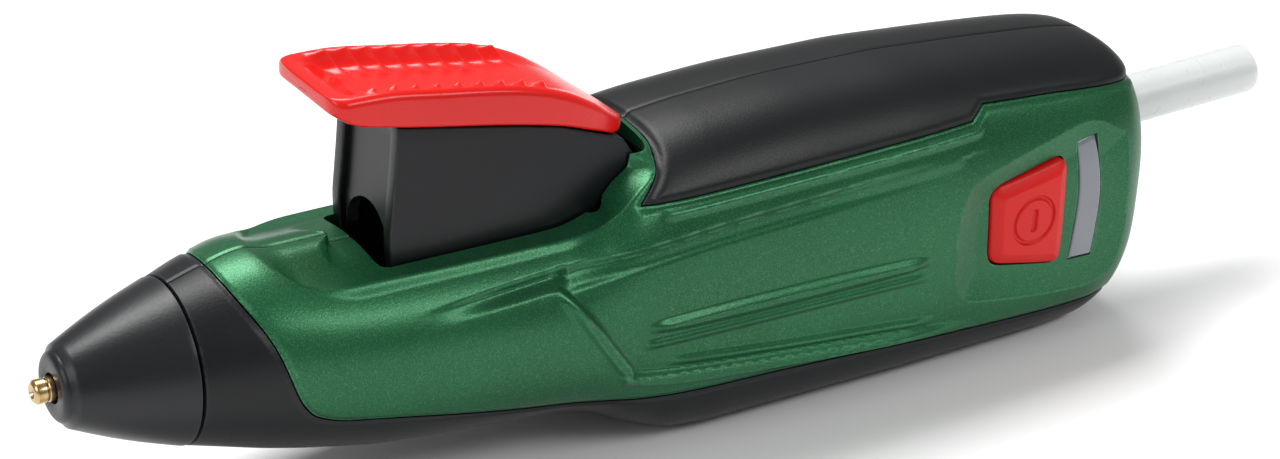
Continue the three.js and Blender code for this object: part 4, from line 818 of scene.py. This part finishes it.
RIB_START = CAP_FRONT + 4.6
RIB_HEIGHT = 0.95
DISH = 1.75
RIM_WIDTH = 1.5

cap_x = np.unique(np.concatenate([
    CAP_FRONT + np.array([0, 0.03, 0.08, 0.15, 0.3, 0.5, 0.75, 1.0]),
    np.arange(CAP_FRONT + 1.2, CAP_TAIL - 1.5, 0.2),
    CAP_TAIL - np.array([1.5, 1.2, 0.9, 0.6, 0.4, 0.2, 0.08, 0]),
]))
span = np.sin(np.linspace(-np.pi / 2, np.pi / 2, 121))[None]
half = monotone(CAP_PLAN, cap_x)
upper = monotone(CAP_UPPER, cap_x)
under = monotone(CAP_UNDER, cap_x)
thick = upper - under
across = half * span
inset = half - np.abs(across)


def fillet(inset, radius):
    """Drop of a rounded edge at a distance in from it."""
    out = np.clip(1 - inset / radius, 0, 1)
    return radius * (1 - np.sqrt(np.clip(1 - out**2, 0, 1)))


front_inset = np.clip(cap_x - CAP_FRONT, 0, None)[:, None]
top_z = upper - fillet(inset, np.minimum(1.15, thick * 0.45)) - fillet(front_inset, 0.45)
flank = smooth_step(RIM_WIDTH * 0.55, RIM_WIDTH + 2.6, inset)
deepen = smooth_step(CAP_FRONT + 0.9, CAP_FRONT + 6, cap_x) * smooth_step(PIVOT[0] - 3, PIVOT[0] - 19, cap_x)
top_z = top_z - DISH * flank * deepen[:, None]
rib_zone = smooth_step(RIM_WIDTH * 0.6, RIM_WIDTH + 0.8, inset) * smooth_step(6.0, 1.8, inset)
for i in range(RIB_COUNT):
    lean = RIB_START + RIB_PITCH * i + 0.42 * inset
    place = (cap_x[:, None] - lean) / RIB_PITCH
    crescent = smooth_step(-0.62, 0.2, place) * smooth_step(0.42, 0.22, place)
    top_z = top_z + RIB_HEIGHT * crescent * rib_zone
low_z = under + fillet(inset, np.minimum(0.55, thick * 0.4)) + fillet(front_inset, 0.3)
low_z = np.minimum(low_z, top_z - 0.05)
place_x = np.broadcast_to(cap_x[:, None], across.shape)
cap_grid = np.concatenate([
    np.stack([place_x, across, top_z], -1),
    np.stack([place_x, across, low_z], -1)[:, ::-1],
], 1)
cap = finish_mesh(make("cap", *grid_solid(cap_grid)), "lever_cover", 50)
red_gloss = moulded("red_gloss", srgb(232, 22, 14), srgb(210, 16, 10), srgb(244, 74, 58),
                    0.24, 0.03, 1500.0, coat=0.12, shine=0.35)
cap.data.materials.append(red_gloss)
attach(cap, "lever")
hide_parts("lever_cap")

# ---------------------------------------------------------------- lever
# Black nylon lever under the cap: two side plates with a set-back wall between their front
# edges. It turns on a steel pin behind, and cam slots in the plates push the carriage.

PLATE_IN = 5.6
PLATE_OUT = 7.5
LEVER_R = PIVOT[0] - 42.9
STROKE = math.radians(18)
PIN_X = 60.0
SLOT_HALF = 1.5
FEED_RISE = math.radians(2.1)
FEED_BEND_X = 45.0


def feed_z(x):
    return (x - FEED_BEND_X) * math.tan(FEED_RISE)


slot_path = []
for part in np.linspace(0, 1, 13):
    swing = STROKE * part
    dx = PIN_X - 6 * part * math.cos(FEED_RISE) - PIVOT[0]
    dz = feed_z(PIN_X) - 6 * part * math.sin(FEED_RISE) - PIVOT[2]
    slot_path.append([
        PIVOT[0] + dx * math.cos(swing) + dz * math.sin(swing),
        PIVOT[2] - dx * math.sin(swing) + dz * math.cos(swing),
    ])
lower_angle = math.atan2(11, -math.sqrt(LEVER_R**2 - 121))
front_arc = [
    [PIVOT[0] + LEVER_R * math.cos(a), PIVOT[2] - LEVER_R * math.sin(a)]
    for a in np.linspace(lower_angle, math.pi, 10)
]
seat = CAP_UNDER[2:-1] - [0, 0.25]
hub = [[PIVOT[0] + 3 * math.cos(a), PIVOT[2] + 3 * math.sin(a)] for a in np.linspace(0, -0.55 * math.pi, 12)]
slot_x, slot_z = slot_path[0]
LOBE = SLOT_HALF + 2.2
outline = np.vstack([
    front_arc, curve([front_arc[-1], [PIVOT[0] - 33.2, PIVOT[2] + 6], seat[0]], 10)[1:], seat[1:], hub,
    [[slot_x + LOBE, slot_z + 2], [slot_x + LOBE * 0.8, slot_z - LOBE * 0.55], [slot_x, slot_z - LOBE]],
])


def soften(thing, width, segments=3, angle=30):
    """Rounds the sharp edges of a solid."""
    bevel = thing.modifiers.new("soften", "BEVEL")
    bevel.width = width * MM
    bevel.segments = segments
    bevel.limit_method = "ANGLE"
    bevel.angle_limit = math.radians(angle)
    graph = bpy.context.evaluated_depsgraph_get()
    done = bpy.data.meshes.new_from_object(thing.evaluated_get(graph))
    thing.modifiers.clear()
    thing.data = done
    return thing


lever = prism("lever", outline, -PLATE_OUT, -PLATE_IN)
soften(lever, 0.28)
twin = prism("lever_far", outline, PLATE_IN, PLATE_OUT)
soften(twin, 0.28)
SET_BACK = 0.9
front_sweep = curve([front_arc[-1], [PIVOT[0] - 33.2, PIVOT[2] + 6], seat[0]], 10)[1:]
wall_line = np.vstack([front_arc[3:], front_sweep])
wall_line = wall_line + [SET_BACK, 0]
wall_line[-1] = [seat[0][0] + SET_BACK, seat[0][1] - 0.05]
WALL_HALF = PLATE_IN + 0.3
wall_outline = np.vstack([wall_line, (wall_line + [1.6, -0.5])[::-1]])
front_wall = prism("front_wall", wall_outline, -WALL_HALF, WALL_HALF)
GUIDE_ROOM = 5.4
arch = tube("arch", (38, 0, 10.0), (50, 0, 10.0), GUIDE_ROOM, 48)
under_arch = prism("under_arch", [[38, -20], [50, -20], [50, 9.9], [38, 9.9]], -GUIDE_ROOM, GUIDE_ROOM)
combine(front_wall, "DIFFERENCE", arch, under_arch)
roof_line = seat - [0, 0.05]
roof_outline = np.vstack([roof_line, (roof_line - [0, 1.8])[::-1]])
roof = prism("roof", roof_outline, -WALL_HALF, WALL_HALF)
combine(lever, "UNION", twin, front_wall, roof)
slot_cut = prism("slot", ribbon(slot_path, 2 * SLOT_HALF), -FAR, FAR)
ends = [tube("end", (x, -FAR, z), (x, FAR, z), SLOT_HALF, 32) for x, z in (slot_path[0], slot_path[-1])]
pin_hole = tube("pin_hole", (PIVOT[0], -FAR, PIVOT[2]), (PIVOT[0], FAR, PIVOT[2]), 1.7, 32)
combine(lever, "DIFFERENCE", slot_cut, *ends, pin_hole)
lever = finish_mesh(lever, "lever_frame", 30)
lever_finish = moulded("lever_nylon", srgb(20, 22, 26), srgb(15, 16, 19), srgb(84, 88, 94),
                       0.34, 0.05, 2600.0, shine=0.3)
lever.data.materials.append(lever_finish)
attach(lever, "lever")
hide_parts("lever_body")

# ---------------------------------------------------------------- power button
# Red moulded key with a wide bevel and a power mark sunk in its face. A flange behind the
# wall keeps it in, and the board's switch springs it back.


def dense(outline, step=0.25):
    """Closed outline with points no further apart than a step."""
    outline = np.asarray(outline, float)
    points = []
    for here, after in zip(outline, np.roll(outline, -1, 0)):
        count = max(1, int(np.hypot(*(after - here)) / step))
        points += [here + (after - here) * k / count for k in range(count)]
    return np.array(points)


def pillow(name, outline, rings, face, back):
    """Solid with a shaped outer face on the button side: face(x, z, edge) gives its depth."""
    outline = dense(outline)
    centre = outline.mean(0)
    rows = [np.insert(outline, 1, -back, axis=1)]
    closed = np.vstack([outline, outline[:1]])
    for share in np.linspace(1, 0.01, rings):
        flat = centre + share * (outline - centre)
        edge = np.abs(line_field(closed, flat[:, 0], flat[:, 1])[0])
        rows.append(np.insert(flat, 1, -face(flat[:, 0], flat[:, 1], edge), axis=1))
    return make(name, *grid_solid(np.stack(rows)))


BUTTON_FACE = -button_low[1]
FLANGE_IN = -button_high[1]
MARK = (BUTTON_X + 0.5, -0.7)
MARK_R = 3.3
MARK_WIDTH = 0.42
MARK_DEPTH = 0.4
BAR_HALF = 1.15
BEVEL = 1.7


def button_face(x, z, edge):
    dome = 0.25 * (((x - MARK[0]) / 7) ** 2 + ((z - MARK[1]) / 8) ** 2)
    bevel = 0.85 * np.clip(1 - edge / BEVEL, 0, 1) ** 1.25 + fillet(edge, 0.3)
    ring = np.abs(np.hypot(x - MARK[0], z - MARK[1]) - MARK_R)
    bar = np.hypot(x - MARK[0], np.maximum(np.abs(z - MARK[1]) - BAR_HALF, 0))
    groove = MARK_DEPTH * (1 - smooth_step(0.12, MARK_WIDTH, ring))
    groove = groove + MARK_DEPTH * (1 - smooth_step(0.35, 0.65, bar))
    return BUTTON_FACE - bevel - dome - groove


button = pillow("button", BUTTON_OUTLINE, 90, button_face, FLANGE_IN)
flange = prism("flange", grown(BUTTON_OUTLINE, 0.8), -FLANGE_IN - 0.6, -FLANGE_IN)
combine(button, "UNION", flange)
button = finish_mesh(button, "power_key", 40)
red_satin = moulded("red_satin", srgb(228, 24, 16), srgb(204, 16, 11), srgb(240, 84, 68),
                    0.4, 0.08, 3200.0, shine=0.3)
button.data.materials.append(red_satin)
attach(button, "button")
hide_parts("power_button")

# ---------------------------------------------------------------- light window
# Smoked polycarbonate strip behind the button that shows the charge lights. It follows the
# well of the side wall and is snapped in from inside.


def skin_side(x, z):
    """Distance of the skin from the middle plane at places on the side."""
    top, bottom, half, mid, up, down = monotone(STATIONS, np.asarray(x, float)).T
    above = z >= mid
    reach = np.abs(z - mid) / np.where(above, top - mid, mid - bottom)
    power = np.where(above, up, down)
    return half * np.clip(1 - reach**power, 0, 1) ** (1 / power)


WINDOW_SINK = 1.15
window_back = float(-from_row(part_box("light_window")[1])[1])
window = pillow(
    "window", WINDOW_OUTLINE, 24,
    lambda x, z, edge: skin_side(x, z) - WINDOW_SINK - fillet(edge, 0.35), window_back)
window = finish_mesh(window, "charge_window", 40)
window_finish = Finish("smoked_window")
cloud = window_finish.noise(120.0, 3.0)
fine = window_finish.noise(1800.0, 2.0)
edge = window_finish.node("ShaderNodeAttribute", output=2, settings={"attribute_name": "wear"})
window_finish.set(
    Base_Color=window_finish.mix(edge * 0.3 + cloud * 0.5, srgb(104, 110, 118), srgb(138, 144, 150)),
    Roughness=0.12 + cloud * 0.1,
    Normal=window_finish.bump(fine, 0.03),
    Coat_Weight=0.6,
    Coat_Roughness=0.04,
)
window.data.materials.append(window_finish.material)
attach(window, "body")
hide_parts("light_window")

# ---------------------------------------------------------------- glue stick
# Extruded hot-melt stick, milky and waxy, guided in from the rear and pushed by the carriage.
# Its ends are cut square, with a slight burr and a dull cut face.

STICK_R = 3.55
stick_high = from_row(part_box("glue_stick")[1])
stick_start = (40.0 - FEED_BEND_X) / math.cos(FEED_RISE)
stick_end = (stick_high[0] - 0.13 - FEED_BEND_X) / math.cos(FEED_RISE)
body_rows = [
    [x, STICK_R - 0.02 * math.sin(x * 0.9) ** 2 - 0.01]
    for x in np.linspace(stick_start + 0.9, stick_end - 0.4, 150)
]
stick_profile = (
    [[stick_start, 0.001], [stick_start, STICK_R - 0.8]] + body_rows
    + [[stick_end - 0.15, STICK_R - 0.06], [stick_end, STICK_R - 0.3], [stick_end - 0.05, STICK_R - 0.8],
       [stick_end - 0.16, 1.2], [stick_end - 0.18, 0.001]]
)
stick = lathe("stick", stick_profile, 96, (FEED_BEND_X, 0, 0), FEED_RISE)
stick = finish_mesh(stick, "glue_stick_clear", 40)
glue = Finish("hot_melt")
cloud = glue.noise(90.0, 4.0)
skin_marks = glue.noise(700.0, 3.0)
edge = glue.node("ShaderNodeAttribute", output=2, settings={"attribute_name": "wear"})
glue.set(
    Base_Color=glue.mix(edge * 0.3 + cloud * 0.4, srgb(204, 208, 208), srgb(224, 226, 224)),
    Roughness=0.2 + skin_marks * 0.2 + edge * 0.2,
    Normal=glue.bump(skin_marks, 0.04, 0.0001),
    Subsurface_Weight=0.7,
    Subsurface_Radius=(0.004, 0.004, 0.0038),
    Subsurface_Scale=1.0,
    Coat_Weight=0.3,
    Coat_Roughness=0.2,
)
stick.data.materials.append(glue.material)
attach(stick, "stick")
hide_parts("glue_stick")

# ---------------------------------------------------------------- return spring
# Spring-steel coil round the stick between the inlet guide and the carriage, its end coils closed.
# The carriage presses it 6 mm shorter each time the lever is squeezed; here it is built at one length only.

SPRING_WIRE_R = 0.3
SPRING_TURNS = 5.5
spring_low, spring_high = map(from_row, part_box("return_spring"))
SPRING_R = (spring_high[1] - spring_low[1]) / 2 - SPRING_WIRE_R
part = np.linspace(0, 1, int(SPRING_TURNS * 44))
feed = np.array([math.cos(FEED_RISE), 0, math.sin(FEED_RISE)])
front_x = spring_low[0] + SPRING_WIRE_R + SPRING_R * math.sin(FEED_RISE) + 0.1
rear_x = spring_high[0] - SPRING_WIRE_R - SPRING_R * math.sin(FEED_RISE) - 0.1
centre = np.array([front_x, 0, feed_z(front_x)])
length = (rear_x - front_x) / feed[0]
turn = 2 * np.pi * SPRING_TURNS * part
radial = np.outer(np.cos(turn), [0, 1, 0]) + np.outer(np.sin(turn), [-feed[2], 0, feed[0]])
path = centre + np.outer(length * (1 - np.cos(np.pi * part)) / 2, feed) + SPRING_R * radial
along = np.gradient(path, axis=0)
along /= np.linalg.norm(along, axis=1, keepdims=True)
across = np.cross(along, radial)
loop = np.linspace(0, 2 * np.pi, 12, endpoint=False)[None, :, None]
wire = path[:, None] + SPRING_WIRE_R * (np.cos(loop) * radial[:, None] + np.sin(loop) * across[:, None])
spring = finish_mesh(make("spring", *grid_solid(wire)), "return_coil", 50)
steel = metal("steel", srgb(176, 180, 186), srgb(120, 124, 130), 0.3, 1800.0)
spring.data.materials.append(steel)
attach(spring, "body")
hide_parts("return_spring")
anchor = to_row([spring_low[0], 0, feed_z(spring_low[0])])
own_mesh(spring)

# ---------------------------------------------------------------- charging contacts
# Five gold-plated springs on the tongue of the charging socket, stamped at an even pitch. The
# socket round them is drawn steel.


def contact_group(pitch, count):
    """Node group that repeats one contact along Z."""
    group = bpy.data.node_groups.new("contact_row", "GeometryNodeTree")
    group.interface.new_socket("Geometry", in_out="OUTPUT", socket_type="NodeSocketGeometry")
    for label, kind, default in (
        ("Count", "NodeSocketInt", count),
        ("Pitch", "NodeSocketFloat", pitch),
        ("Length", "NodeSocketFloat", 2.2 * MM),
        ("Width", "NodeSocketFloat", 0.5 * MM),
        ("Finish", "NodeSocketMaterial", None),
    ):
        socket = group.interface.new_socket(label, in_out="INPUT", socket_type=kind)
        if default is not None:
            socket.default_value = default
    nodes, links = group.nodes, group.links
    given = nodes.new("NodeGroupInput")
    line = nodes.new("GeometryNodeMeshLine")
    gap = nodes.new("ShaderNodeCombineXYZ")
    links.new(given.outputs["Count"], line.inputs["Count"])
    links.new(given.outputs["Pitch"], gap.inputs["Z"])
    links.new(gap.outputs[0], line.inputs["Offset"])
    size = nodes.new("ShaderNodeCombineXYZ")
    links.new(given.outputs["Length"], size.inputs["X"])
    links.new(given.outputs["Width"], size.inputs["Z"])
    size.inputs["Y"].default_value = 0.15 * MM
    bar = nodes.new("GeometryNodeMeshCube")
    links.new(size.outputs[0], bar.inputs["Size"])
    copies = nodes.new("GeometryNodeInstanceOnPoints")
    links.new(line.outputs[0], copies.inputs["Points"])
    links.new(bar.outputs[0], copies.inputs["Instance"])
    real = nodes.new("GeometryNodeRealizeInstances")
    links.new(copies.outputs[0], real.inputs[0])
    paint = nodes.new("GeometryNodeSetMaterial")
    links.new(real.outputs[0], paint.inputs["Geometry"])
    links.new(given.outputs["Finish"], paint.inputs["Material"])
    result = nodes.new("NodeGroupOutput")
    links.new(paint.outputs[0], result.inputs[0])
    return group


gold = metal("gold_plate", srgb(222, 184, 104), srgb(180, 140, 70), 0.22, 900.0)
CONTACTS = 5
CONTACT_PITCH = 0.9
TONGUE_OFF = 1.7
contacts = bpy.data.objects.new("charging_contacts", bpy.data.meshes.new("charging_contacts"))
bpy.context.scene.collection.objects.link(contacts)
rows = contacts.modifiers.new("rows", "NODES")
rows.node_group = contact_group(CONTACT_PITCH * MM, CONTACTS)
for item in rows.node_group.interface.items_tree:
    if item.item_type == "SOCKET" and item.in_out == "INPUT" and item.name == "Finish":
        rows[item.identifier] = gold
graph = bpy.context.evaluated_depsgraph_get()
contact_mesh = bpy.data.meshes.new_from_object(contacts.evaluated_get(graph))
contacts.modifiers.clear()
contacts.data = contact_mesh
middle_z = (socket_low[2] + socket_high[2]) / 2 - CONTACT_PITCH * (CONTACTS - 1) / 2
corner = to_row([socket_high[0] - 2.6, socket_low[1] + TONGUE_OFF + 0.12, middle_z])
contact_mesh.transform(Matrix.Translation(Vector(corner)))
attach(contacts, "body")

# ---------------------------------------------------------------- pieces inside
# The drive, the heater, the cell and the board keep the shapes of the model. Each takes the
# finish of what it is made of: steel, aluminium, ceramic, silicone, moulded plastic or foil.

blacked = metal("blacked_steel", srgb(70, 72, 76), srgb(46, 48, 52), 0.4, 1800.0)
aluminium = metal("aluminium", srgb(196, 198, 202), srgb(150, 152, 158), 0.38, 2400.0)
INSIDE = [
    (blacked, ["housing_screw", "lever_pivot_pin"]),
    (steel, ["carriage_pin", "feed_pawl", "board_screw", "heater_clip", "battery_tab", "charging_socket"]),
    (aluminium, ["melt_chamber"]),
]
# Finish, its colour, deep and worn colours, roughness, grain, grain scale, coat, and its nodes.
PLASTICS = [
    ("mechanism_nylon", (30, 32, 35), (24, 25, 28), (84, 88, 92), 0.45, 0.12, 1800.0, 0.0,
     ["carriage", "stick_guide", "entry_bush", "tact_switch"]),
    ("alumina", (226, 222, 212), (210, 204, 192), (240, 238, 232), 0.6, 0.2, 2600.0, 0.0,
     ["heater_upper", "heater_lower", "switch_plunger"]),
    ("phenolic", (58, 50, 42), (46, 40, 34), (104, 94, 82), 0.55, 0.2, 2200.0, 0.0,
     ["chamber_collar", "inlet_guide"]),
    ("silicone", (168, 70, 50), (150, 58, 42), (190, 100, 80), 0.65, 0.1, 1500.0, 0.0, ["inlet_seal"]),
    ("board_mask", (24, 84, 48), (18, 70, 40), (190, 170, 100), 0.4, 0.1, 900.0, 0.0, ["circuit_board"]),
    ("lamp_resin", (222, 230, 214), (206, 214, 198), (240, 244, 236), 0.25, 0.05, 1500.0, 0.0, ["led"]),
    ("cell_wrap", (34, 84, 160), (28, 70, 140), (120, 150, 200), 0.32, 0.05, 900.0, 0.3, ["battery_cell"]),
    ("foam", (74, 76, 80), (58, 60, 64), (96, 98, 102), 0.9, 0.8, 1400.0, 0.0, ["battery_pad"]),
    ("wire_red", (170, 26, 20), (150, 20, 16), (210, 80, 70), 0.45, 0.05, 1500.0, 0.0,
     ["heater_wire", "battery_wire_positive"]),
    ("wire_black", (26, 27, 29), (20, 21, 23), (70, 72, 76), 0.45, 0.05, 1500.0, 0.0,
     ["battery_wire_negative"]),
]
for name, colour, deep, worn, rough, grain, grain_scale, coat, held in PLASTICS:
    paint = moulded(name, srgb(*colour), srgb(*deep), srgb(*worn), rough, grain, grain_scale, coat)
    INSIDE.append((paint, held))
for name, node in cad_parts.items():
    matches = [(len(start), paint) for paint, held in INSIDE for start in held if name.startswith(start)]
    if not matches or node.hide_render:
        continue
    _, paint = max(matches, key=lambda pair: pair[0])
    for place in node.material_slots:
        place.material = paint

# ---------------------------------------------------------------- studio
# A pale floor under the foot, one broad soft light above, a fill at each side.

floor_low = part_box("underbody_left")[0].z
floor_mesh = bpy.data.meshes.new("floor")
REACH = 6.0
floor_mesh.from_pydata(
    [
        (-REACH, -REACH, floor_low), (REACH, -REACH, floor_low),
        (REACH, REACH, floor_low), (-REACH, REACH, floor_low),
    ],
    [], [(0, 1, 2, 3)])
floor = bpy.data.objects.new("floor", floor_mesh)
bpy.context.scene.collection.objects.link(floor)
floor_finish = Finish("studio_floor")
floor_finish.set(
    Base_Color=floor_finish.mix(floor_finish.noise(4.0), (0.86, 0.86, 0.86, 1), (0.9, 0.9, 0.9, 1)),
    Roughness=0.7,
)
floor_mesh.materials.append(floor_finish.material)

world = bpy.data.worlds.new("studio")
bpy.context.scene.world = world
world.use_nodes = True
world.node_tree.nodes["Background"].inputs["Color"].default_value = (1.0, 1.0, 1.0, 1)
world.node_tree.nodes["Background"].inputs["Strength"].default_value = 0.3


def softbox(name, place, target, width, height, power):
    light = bpy.data.lights.new(name, "AREA")
    light.shape = "RECTANGLE"
    light.size = width
    light.size_y = height
    light.energy = power
    lamp = bpy.data.objects.new(name, light)
    lamp.location = place
    lamp.rotation_euler = (Vector(target) - Vector(place)).to_track_quat("-Z", "Y").to_euler()
    bpy.context.scene.collection.objects.link(lamp)


bpy.context.scene.view_settings.view_transform = "Standard"
softbox("top_light", (-0.05, 0.32, 0.7), (0, 0, 0.02), 0.7, 0.3, 7.5)
softbox("front_light", (-0.75, -0.1, 0.4), (0, 0, 0.02), 0.4, 0.3, 1.5)
softbox("side_light", (0.3, -0.6, 0.62), (0, 0, 0.02), 0.6, 0.18, 2.6)

# ---------------------------------------------------------------- camera
# A long lens from the front left of the button side, a little above.

camera_data = bpy.data.cameras.new("camera")
camera_data.lens = 90
camera_data.sensor_width = 36
camera_data.clip_start = 0.01
camera = bpy.data.objects.new("camera", camera_data)
CAMERA_AZIMUTH = 34.12
CAMERA_ELEVATION = 26.27
CAMERA_ROLL = 3.22
CAMERA_DISTANCE = 0.42
CAMERA_AIM = (-0.0056, 0.0063, 0.02)
aimed = (
    Matrix.Rotation(math.radians(-CAMERA_AZIMUTH), 4, "Z")
    @ Matrix.Rotation(math.radians(90 - CAMERA_ELEVATION), 4, "X")
    @ Matrix.Rotation(math.radians(CAMERA_ROLL), 4, "Z")
)
set_back = Matrix.Translation((0, 0, CAMERA_DISTANCE))
camera.matrix_world = Matrix.Translation(CAMERA_AIM) @ aimed @ set_back
bpy.context.scene.collection.objects.link(camera)
bpy.context.scene.camera = camera
